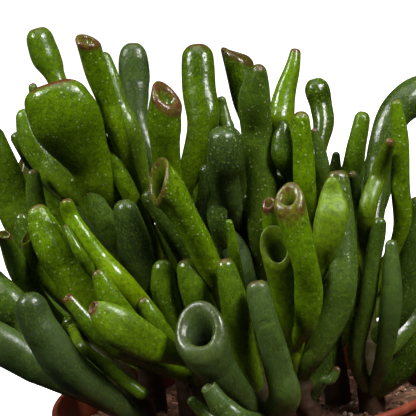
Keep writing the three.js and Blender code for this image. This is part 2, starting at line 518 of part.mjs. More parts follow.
// ---- pot ----------------------------------------------------------------------------------
const potOutside = [
  [0, 0], [FOOT_RADIUS - 1.4, 0], [FOOT_RADIUS, 1.4], [54, COLLAR_LOW - 0.8],
  [57.2, COLLAR_LOW], [58.2, POT_HEIGHT - 3.2], [RIM_RADIUS - 0.4, POT_HEIGHT - 2.8],
  [RIM_RADIUS, POT_HEIGHT - 1.4], [RIM_RADIUS - 0.8, POT_HEIGHT - 0.1],
  [RIM_RADIUS - 2, POT_HEIGHT - 0.2]];
const potInside = [
  [RIM_RADIUS - 2.4, POT_HEIGHT - 1.4], [56.7, POT_HEIGHT - 3.8], [55.7, COLLAR_LOW + 1.6],
  [52.4, COLLAR_LOW + 0.6], [FOOT_RADIUS - 1.5, 2.4], [0, 2.4]];
let pot = turned([...potOutside, ...potInside], POT_SIDES);
for (let i = 0; i < DRAIN_HOLES; i += 1) {
  const a = (2 * Math.PI * (i + 0.5)) / DRAIN_HOLES;
  pot = pot.subtract(
    peg(DRAIN_RING * Math.cos(a), DRAIN_RING * Math.sin(a), DRAIN_RADIUS, -1, 4, 8));
}
group.add(part('pot', pot, 0x8c4026));

// ---- potting soil -------------------------------------------------------------------------
// Fills the pot to just below the lip; its top is uneven by a sum of sines.
const lump = (x, y) => SOIL_LUMP * (0.5 * Math.sin(x * 0.31 + 1) * Math.cos(y * 0.27)
  + 0.35 * Math.sin(x * 0.13 - y * 0.19 + 2) + 0.15 * Math.sin(x * 0.55 + y * 0.47));
const soilWall = 52.4 + (55.7 - 52.4) * 0.3;
let soil = (() => {
  const sides = 24;
  const loop = (r, z, rough) => Array.from({ length: sides }, (_, i) => {
    const a = (2 * Math.PI * i) / sides;
    const x = r * Math.cos(a);
    const y = r * Math.sin(a);
    return [x, y, z + (rough ? lump(x, y) : 0)];
  });
  const k = CLEAR + 0.35;
  return ringSolid([
    [[0, 0, 2.4 + CLEAR]], loop(FOOT_RADIUS - 1.5 - k, 2.4 + CLEAR),
    loop(52.4 - k, COLLAR_LOW + 0.4), loop(soilWall - k, COLLAR_LOW + 2.2),
    loop(55.7 - k, COLLAR_LOW + 3.2), loop(56.1 - k, SOIL_TOP - 1, true),
    loop(48, SOIL_TOP, true), loop(34, SOIL_TOP, true), loop(18, SOIL_TOP, true), [[0, 0, SOIL_TOP + lump(0, 0)]]]);
})();
for (const name of Object.keys(STEMS)) {
  const foot = place(stemPath(name)[0]);
  soil = soil.subtract(peg(foot[0], foot[1], STEMS[name][0] + CLEAR + 0.05,
    STEM_FOOT - CLEAR, SOIL_TOP + 4, 8));
}
group.add(part('potting_soil', soil, 0x3c2618));

// ---- leafy stems --------------------------------------------------------------------------
for (const name of Object.keys(STEMS)) {
  const solids = [stemSolid(name),
    ...leaves.filter((leaf) => leaf.stem === name).map(leafSolid)];
  group.add(part(`leafy_stem_${name}`, Manifold.union(solids), LEAF_COLOUR[name]));
}

export default group;
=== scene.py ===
"""A trumpet jade in its nursery pot: pot, potting soil and thirteen leafy stems, dressed over the
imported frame. Sizes are millimetres in the part's own frame: z up from the ground, front at -y."""
import bpy
import numpy as np
from mathutils import Matrix


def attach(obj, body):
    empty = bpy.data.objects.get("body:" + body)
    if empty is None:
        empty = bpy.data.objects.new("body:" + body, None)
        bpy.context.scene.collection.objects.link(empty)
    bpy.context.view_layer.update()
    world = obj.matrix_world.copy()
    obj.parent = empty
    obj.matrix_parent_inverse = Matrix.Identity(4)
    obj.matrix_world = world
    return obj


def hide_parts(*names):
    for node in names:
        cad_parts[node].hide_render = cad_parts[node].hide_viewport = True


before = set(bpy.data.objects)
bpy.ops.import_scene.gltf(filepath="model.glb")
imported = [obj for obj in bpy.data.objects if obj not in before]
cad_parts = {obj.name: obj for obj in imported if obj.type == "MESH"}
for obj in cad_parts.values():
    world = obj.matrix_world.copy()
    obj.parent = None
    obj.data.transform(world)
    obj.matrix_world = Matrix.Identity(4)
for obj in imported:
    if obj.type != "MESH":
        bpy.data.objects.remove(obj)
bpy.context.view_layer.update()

# ---- pot ------------------------------------------------------------------------------------
# A 12 cm round nursery pot, injection moulded in one shot from terracotta-coloured
# polypropylene: tapered body, wider collar, rolled lip, and eight drain holes in its floor.
MM = 0.001
POT_HEIGHT = 105
POT_SIDES = 160
POT_FLOOR = 2.4           # thickness of the floor
# Radius and height along the wall, from the middle of the underside up, over the lip and down.
POT_PROFILE = [(0, 0), (41.1, 0), (42.5, 1.4), (54, 84.2), (57.2, 85), (58.2, 101.8), (59.6, 102.2),
               (60, 103.6), (59.2, 104.9), (58, 104.8), (57.6, 103.6), (56.7, 101.2), (55.7, 86.6),
               (52.4, 85.6), (41, POT_FLOOR), (0, POT_FLOOR)]
CORNER_ROUND = 0.8        # how much of each corner the mould rounds off
PROFILE_STEP = 7          # longest side of a face along the profile
DRAIN_HOLES = 8
DRAIN_RADIUS = 4
DRAIN_RING = 28           # radius of the ring on which the drain holes lie
DRILL_ENDS = (-2, 5)      # heights between which the drills reach
DRILL_SIDES = 32


def rounded(profile, cut, steps=4):
    """The profile with each inner corner replaced by a parabola that starts and ends `cut` mm
    from it, or half a side away where the side is short: (1-s)^2 a + 2s(1-s) corner + s^2 b."""
    p = np.asarray(profile, float)
    side = np.linalg.norm(np.diff(p, axis=0), axis=1)
    back = np.minimum(cut, side[:-1] * 0.45) / side[:-1]
    ahead = np.minimum(cut, side[1:] * 0.45) / side[1:]
    corner = p[1:-1]
    a = corner + (p[:-2] - corner) * back[:, None]
    b = corner + (p[2:] - corner) * ahead[:, None]
    s = np.linspace(0, 1, steps)[None, :, None]
    arcs = (1 - s) ** 2 * a[:, None] + 2 * s * (1 - s) * corner[:, None] + s ** 2 * b[:, None]
    return np.vstack([p[:1], arcs.reshape(-1, 2), p[-1:]])


def turned(profile, sides):
    """Rings of a profile of (radius, height) points turned about the z axis:
    x = r cos a, y = r sin a, z = height, for `sides` equal angles a."""
    a = 2 * np.pi * np.arange(sides) / sides
    r, z = profile[:, :1], profile[:, 1:]
    return np.stack([r * np.cos(a), r * np.sin(a), z + 0 * a], axis=-1)


def closed_skin(rings, first, last):
    """Points and faces of a closed skin: rings (n, sides, 3) joined by four-cornered faces,
    with a pole before the first ring and one after the last."""
    n, sides = rings.shape[:2]
    points = np.vstack([rings.reshape(-1, 3), first, last])
    i = np.arange(sides)
    j = (i + 1) % sides
    row = sides * np.arange(n - 1)[:, None]
    quads = np.stack([row + i, row + j, row + sides + j, row + sides + i], axis=-1)
    low = np.stack([np.full(sides, n * sides), j, i], axis=-1)
    top = (n - 1) * sides
    high = np.stack([top + i, top + j, np.full(sides, n * sides + 1)], axis=-1)
    return points, quads.reshape(-1, 4), np.vstack([low, high])


def joined(skins):
    """The points, four-cornered faces and three-cornered faces of many closed skins as of one."""
    first = np.cumsum([0] + [len(skin[0]) for skin in skins[:-1]])
    return [np.vstack([skin[0] for skin in skins]),
            *(np.vstack([skin[k] + n for skin, n in zip(skins, first)]) for k in (1, 2))]


def piece(name, points, quads, tris, marks, finish):
    """A smooth-shaded object from points in mm, faces with four and with three corners, and
    one number per point for each named mark that its finish reads."""
    mesh = bpy.data.meshes.new(name)
    mesh.vertices.add(len(points))
    mesh.vertices.foreach_set("co", (np.asarray(points) * MM).astype(np.float32).ravel())
    mesh.loops.add(quads.size + tris.size)
    mesh.loops.foreach_set("vertex_index", np.concatenate([quads.ravel(), tris.ravel()]).astype(np.int32))
    mesh.polygons.add(len(quads) + len(tris))
    mesh.polygons.foreach_set("loop_start", np.concatenate(
        [4 * np.arange(len(quads)), quads.size + 3 * np.arange(len(tris))]).astype(np.int32))
    mesh.polygons.foreach_set("use_smooth", np.ones(len(mesh.polygons), bool))
    mesh.update(calc_edges=True)
    for mark, values in marks.items():
        mesh.attributes.new(mark, "FLOAT", "POINT").data.foreach_set(
            "value", np.asarray(values, np.float32))
    mesh.materials.append(finish)
    made = bpy.data.objects.new(name, mesh)
    bpy.context.scene.collection.objects.link(made)
    return made


def colour(code):
    """Linear RGBA of an sRGB hex value: c/12.92 up to 0.04045, else ((c+0.055)/1.055)^2.4."""
    c = np.array([int(code[k:k + 2], 16) for k in (1, 3, 5)]) / 255
    c = np.where(c <= 0.04045, c / 12.92, ((c + 0.055) / 1.055) ** 2.4)
    return (*c.tolist(), 1.0)


def add(tree, kind, settings=(), links=()):
    """A node of a kind; settings are its own properties by name or the values of its inputs by
    name or number, a hex value for a colour, and links join an output, or a node's first live
    output, to its inputs."""
    made = tree.nodes.new("ShaderNode" + kind)
    for key, value in dict(settings).items():
        if isinstance(key, str) and hasattr(made, key):
            setattr(made, key, value)
        else:
            made.inputs[key].default_value = colour(value) if isinstance(value, str) else value
    for key, source in dict(links).items():
        if hasattr(source, "outputs"):
            source = next(o for o in source.outputs if o.enabled)
        tree.links.new(source, made.inputs[key])
    return made


def new_finish(name):
    """An empty material, and its node tree."""
    made = bpy.data.materials.new(name)
    made.use_nodes = True
    made.node_tree.nodes.clear()
    return made, made.node_tree


# Polypropylene, injection moulded against a polished tool: an even, slightly dusty orange-brown
# with a soft sheen, faint flow clouding, dried water marks and a fine grain that breaks the sheen.
# Object coordinates are metres: noise of scale 45 clouds over 1000/45 = 22 mm, the water marks
# are 1000/260 = 4 mm apart and the grain 1000/1800 = 0.6 mm.
pot_plastic, tree = new_finish("terracotta_polypropylene_moulded")
where = add(tree, "TexCoord").outputs["Object"]
clouds, dust, grain = (
    add(tree, "TexNoise", {"Scale": scale, "Detail": detail, "Roughness": fade}, {"Vector": where})
    for scale, detail, fade in ((45, 4, 0.6), (260, 6, 0.7), (1800, 2, 0.5)))
clouded = add(tree, "Mix", {"data_type": "RGBA", 6: "#5C1E0A", 7: "#6C280E"}, {0: clouds})
dusty = add(tree, "MapRange", {"From Min": 0.55, "From Max": 0.8, "To Max": 0.35}, {"Value": dust})
shade = add(tree, "Mix", {"data_type": "RGBA", 7: "#94684E"}, {0: dusty, 6: clouded})
rough = add(tree, "MapRange", {"To Min": 0.38, "To Max": 0.58}, {"Value": dust})
bump = add(tree, "Bump", {"Strength": 0.35, "Distance": 0.00006}, {"Height": grain})
body = add(tree, "BsdfPrincipled", {"IOR": 1.49},
           {"Base Color": shade, "Roughness": rough, "Normal": bump})
add(tree, "OutputMaterial", (), {"Surface": body})

pot_line = rounded(POT_PROFILE, CORNER_ROUND)
steps = np.linalg.norm(np.diff(pot_line, axis=0), axis=1) / PROFILE_STEP
steps = np.maximum(1, np.ceil(steps)).astype(int)
pot_line = np.vstack([np.linspace(a, b, n, endpoint=False) for a, b, n in
                      zip(pot_line[:-1], pot_line[1:], steps)] + [pot_line[-1:]])[1:-1]
pot_skin = closed_skin(turned(pot_line, POT_SIDES), [[0, 0, 0]], [[0, 0, POT_FLOOR]])
pot = piece("pot_shell", *pot_skin, {}, pot_plastic)
# The drain holes are cut by eight drills, half a step round from the x axis.
drill_rings = turned(np.array([[DRAIN_RADIUS, z] for z in DRILL_ENDS]), DRILL_SIDES)
drills = []
for a in 2 * np.pi * (np.arange(DRAIN_HOLES) + 0.5) / DRAIN_HOLES:
    spot = np.array([DRAIN_RING * np.cos(a), DRAIN_RING * np.sin(a), 0])
    drills.append(closed_skin(drill_rings + spot, *([spot + (0, 0, z)] for z in DRILL_ENDS)))
drill = piece("drills", *joined(drills), {}, pot_plastic)
cut = pot.modifiers.new("drain holes", "BOOLEAN")
cut.operation, cut.solver, cut.object = "DIFFERENCE", "EXACT", drill
bored = bpy.data.meshes.new_from_object(pot.evaluated_get(bpy.context.evaluated_depsgraph_get()))
pot.modifiers.clear()
pot.data = bored
bpy.data.objects.remove(drill)
pot.data.set_sharp_from_angle(angle=np.radians(40))
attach(pot, "root")
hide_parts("pot")

# ---- potting soil ---------------------------------------------------------------------------
# A damp mix of dark peat, shredded bark and a little pumice, filled to a finger below the lip:
# one body with a clodded top, and loose bits of bark and pumice lying on it.
SOIL_TOP = 94.5           # mean height of the top
SOIL_SWELL = 0.8          # how far the top rises and falls
SOIL_CLODS = [(0.7, 7.0), (0.55, 3.4), (0.4, 1.7), (0.22, 0.9)]      # height and breadth of each size
SOIL_WALL = 55.4          # radius at which the soil meets the pot at its top
SOIL_UNDER = 2.8          # height of its underside, on the pot's floor
# Radius and height down the soil's side, just inside the pot's wall.
SOIL_SIDE = [(SOIL_WALL - 0.3, 91), (55, 88.4), (52.6, 87.2), (51.7, 85.2), (41, 6), (40.8, SOIL_UNDER)]
SOIL_RINGS, SOIL_SIDES = 92, 240


def lattice(x, y, cell, seed):
    """Smooth noise from -1 to 1: random heights on a square lattice of side `cell`, blended
    between its corners by 3f^2 - 2f^3."""
    u, v = x / cell, y / cell
    i, j = np.floor(u), np.floor(v)
    f, g = u - i, v - j
    f, g = f * f * (3 - 2 * f), g * g * (3 - 2 * g)

    def corner(a, b):
        h = np.sin(a * 127.1 + b * 311.7 + seed * 74.7) * 43758.5453
        return 2 * (h - np.floor(h)) - 1
    return ((corner(i, j) * (1 - f) + corner(i + 1, j) * f) * (1 - g)
            + (corner(i, j + 1) * (1 - f) + corner(i + 1, j + 1) * f) * g)


def soil_height(x, y):
    """Height of the soil's top: a sum of slow sines, with clods of four sizes on it."""
    slow = SOIL_SWELL * (0.5 * np.sin(x * 0.31 + 1) * np.cos(y * 0.27)
                         + 0.35 * np.sin(x * 0.13 - y * 0.19 + 2) + 0.15 * np.sin(x * 0.55 + y * 0.47))
    clods = sum(h * lattice(x, y, c, s) for s, (h, c) in enumerate(SOIL_CLODS))
    return SOIL_TOP + slow + clods


# Peat and bark, milled and damp: near-black brown fibres with redder bark flecks, no sheen.
# The pumice bits are pale pink-grey and chalky; the mark `pale` tells them from the bark.
# The crumb is 1000/420 = 2.4 mm across and the flecks 1000/520 = 1.9 mm, as milled bark is.
soil_mix, tree = new_finish("peat_and_bark_mix_damp")
where = add(tree, "TexCoord").outputs["Object"]
crumb = add(tree, "TexNoise", {"Scale": 420, "Detail": 8, "Roughness": 0.75}, {"Vector": where})
fleck = add(tree, "TexVoronoi", {"Scale": 520}, {"Vector": where})
fleck_pick = add(tree, "SeparateColor", (), {"Color": fleck.outputs["Color"]})
brown = add(tree, "Mix", {"data_type": "RGBA", 6: "#2A1A10", 7: "#644634"}, {0: crumb})
flecked = add(tree, "MapRange", {"From Min": 0.72, "From Max": 0.9, "To Max": 0.7},
              {"Value": fleck_pick.outputs["Red"]})
barky = add(tree, "Mix", {"data_type": "RGBA", 7: "#86604A"}, {0: flecked, 6: brown})
pale = add(tree, "Attribute", {"attribute_name": "pale"})
chalk = add(tree, "Mix", {"data_type": "RGBA", 7: "#9A8474"}, {0: pale.outputs["Fac"], 6: barky})
bump = add(tree, "Bump", {"Strength": 0.9, "Distance": 0.0005}, {"Height": crumb})
body = add(tree, "BsdfPrincipled", {"Roughness": 0.9, "Specular IOR Level": 0.25},
           {"Base Color": chalk, "Normal": bump})
add(tree, "OutputMaterial", (), {"Surface": body})

ring_r = np.linspace(0.6, SOIL_WALL, SOIL_RINGS)
turn = 2 * np.pi * np.arange(SOIL_SIDES) / SOIL_SIDES
top_x, top_y = ring_r[:, None] * np.cos(turn), ring_r[:, None] * np.sin(turn)
top = np.stack([top_x, top_y, soil_height(top_x, top_y)], axis=-1)
wall = turned(np.array(SOIL_SIDE), SOIL_SIDES)
soil_middle = float(soil_height(np.zeros(1), np.zeros(1))[0])
soil_skin = closed_skin(np.concatenate([top, wall])[::-1], [[0, 0, SOIL_UNDER]], [[0, 0, soil_middle]])
soil = piece("soil_bed", *soil_skin, {"pale": np.zeros(len(soil_skin[0]))}, soil_mix)
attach(soil, "root")
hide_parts("potting_soil")

# Bits lie anywhere on the top, half sunk: a twenty-faced lump, pulled long and flat for bark.
draw = np.random.default_rng(7)
BITS = 1100
PUMICE_SHARE = 0.16
gold = (1 + 5 ** 0.5) / 2
lump_points = np.array([[0, s, t * gold] for s in (-1, 1) for t in (-1, 1)], float)
lump_points = np.vstack([lump_points, lump_points[:, [2, 0, 1]], lump_points[:, [1, 2, 0]]])
lump_points /= np.linalg.norm(lump_points[0])
gap = np.linalg.norm(lump_points[:, None] - lump_points[None], axis=-1)
edge = gap[gap > 0].min() * 1.01
lump_faces = np.array([(a, b, c) for a in range(12) for b in range(a + 1, 12) for c in range(b + 1, 12)
                       if max(gap[a, b], gap[b, c], gap[a, c]) < edge])
a, b, c = (lump_points[lump_faces[:, k]] for k in range(3))
outward = np.einsum("ij,ij->i", np.cross(b - a, c - a), a) > 0
lump_faces[~outward] = lump_faces[~outward][:, ::-1]
reach = SOIL_WALL * 0.975 * np.sqrt(draw.random(BITS))
angle = 2 * np.pi * draw.random(BITS)
is_pale = draw.random(BITS) < PUMICE_SHARE
size = 0.35 + 0.75 * draw.random((BITS, 1)) ** 2
stretch = np.where(is_pale[:, None], [1.0, 0.9, 0.8], [1.7, 0.8, 0.5]) * size
spin = np.linalg.qr(draw.normal(size=(BITS, 3, 3)))[0]
spin[np.linalg.det(spin) < 0, :, 0] *= -1
rough_lump = lump_points[None] * (1 + 0.22 * draw.normal(size=(BITS, 12, 1)))
bits = np.einsum("nij,nkj->nki", spin, rough_lump * stretch[:, None, :])
spot = np.stack([reach * np.cos(angle), reach * np.sin(angle)], axis=-1)
spot = np.column_stack([spot, soil_height(spot[:, 0], spot[:, 1]) + 0.25 * size[:, 0]])
bits = (bits + spot[:, None]).reshape(-1, 3)
bit_faces = (lump_faces[None] + 12 * np.arange(BITS)[:, None, None]).reshape(-1, 3)
loose = piece("soil_bits", bits, np.zeros((0, 4), int), bit_faces, {"pale": np.repeat(is_pale, 12)},
              soil_mix)
loose.data.polygons.foreach_set("use_smooth", np.zeros(len(loose.data.polygons), bool))
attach(loose, "root")

# ---- leafy stems ----------------------------------------------------------------------------
# The plant: thirteen short woody stems that leave the soil side by side, each with the leaves
# grown on it. A leaf is a fleshy tube, either closed in a blunt finger or open in a trumpet.
STEM_FOOT = 84            # lower end of a stem, inside the soil
STEM_FREE = 99            # a stem stands plumb up to this height, then leans
LEAF_GAP = 0.9            # least gap that leaves settle to
LANE_BALLS, STEM_BALLS = 9, 14      # balls that stand for a lane of a leaf and for a stem
ROUNDS = 160              # rounds in which leaves that cross are pushed apart
LEAF_SIDES = 32
BODY_RINGS = 44           # rings from a leaf's root to its lip or to the foot of its tip
LIP_RINGS, HOLLOW_RINGS, TIP_RINGS = 11, 16, 15
STEM_SIDES, STEM_RINGS = 24, 60
RIDGE_EVERY = 5           # distance between the ridges of a stem
LIP_TURN = 0.74 * np.pi   # angle through which a trumpet's lip turns over
LIP_HEIGHT = 0.3          # the lip's height as a share of the width that the bore leaves to it
TIP_DIMPLE = 0.06         # depth of the dimple in a finger's tip as a share of its width
# The eye from which leaves are set out: in front of the plant and a little above the rim.
EYE = np.array([-6.525, -871.096, 337.694])

# Every stem: radius at the foot, radius at the top, path as [across, up, near] points.
STEMS = {
    "left_low": [3.6, 2, [[-30, -8, 20], [-36, 2, 17], [-44, 14, 12], [-52, 26, 7]]],
    "left_fan": [3.8, 2.6, [[-13, -8, 10], [-15, 3, 12], [-19, 12, 12], [-25, 25, 8]]],
    "left_tall": [4, 2.4, [[-18, -8, -10], [-19, 15, -9], [-22, 38, -8], [-27, 58, -8]]],
    "middle_left": [4, 2.6, [[-6, -8, -2], [-8, 12, -2], [-12, 34, -3], [-16, 56, -6]]],
    "front": [3.8, 2.6, [[4, -8, 20], [2, 2, 20], [1, 10, 19], [1, 20, 17]]],
    "middle_tall": [4, 2.4, [[7, -8, -12], [6, 15, -12], [4, 38, -12], [4, 58, -12]]],
    "front_right": [3.8, 2.8, [[17, -8, 14], [14.5, 2, 15], [15, 12, 14], [18, 26, 10]]],
    "right_tall": [4, 2.4, [[26, -8, -8], [25, 15, -8], [24, 38, -8], [24, 60, -9]]],
    "far_right": [4, 2.6, [[36, -8, 6], [36, 8, 5], [38, 26, 2], [41, 42, -2]]],
    "far_left": [3.8, 2.2, [[-33, -8, -6], [-38, 8, -7], [-46, 24, -8], [-53, 38, -9]]],
    "back_left": [4, 2.4, [[-29, -8, -22], [-30, 12, -23], [-34, 28, -25], [-39, 44, -27]]],
    "back_middle": [4, 2.4, [[-4, -8, -27], [-5, 14, -27], [-7, 32, -28], [-8, 50, -30]]],
    "back_right": [4, 2.4, [[24, -8, -28], [25, 12, -28], [29, 28, -28], [33, 44, -28]]],
}
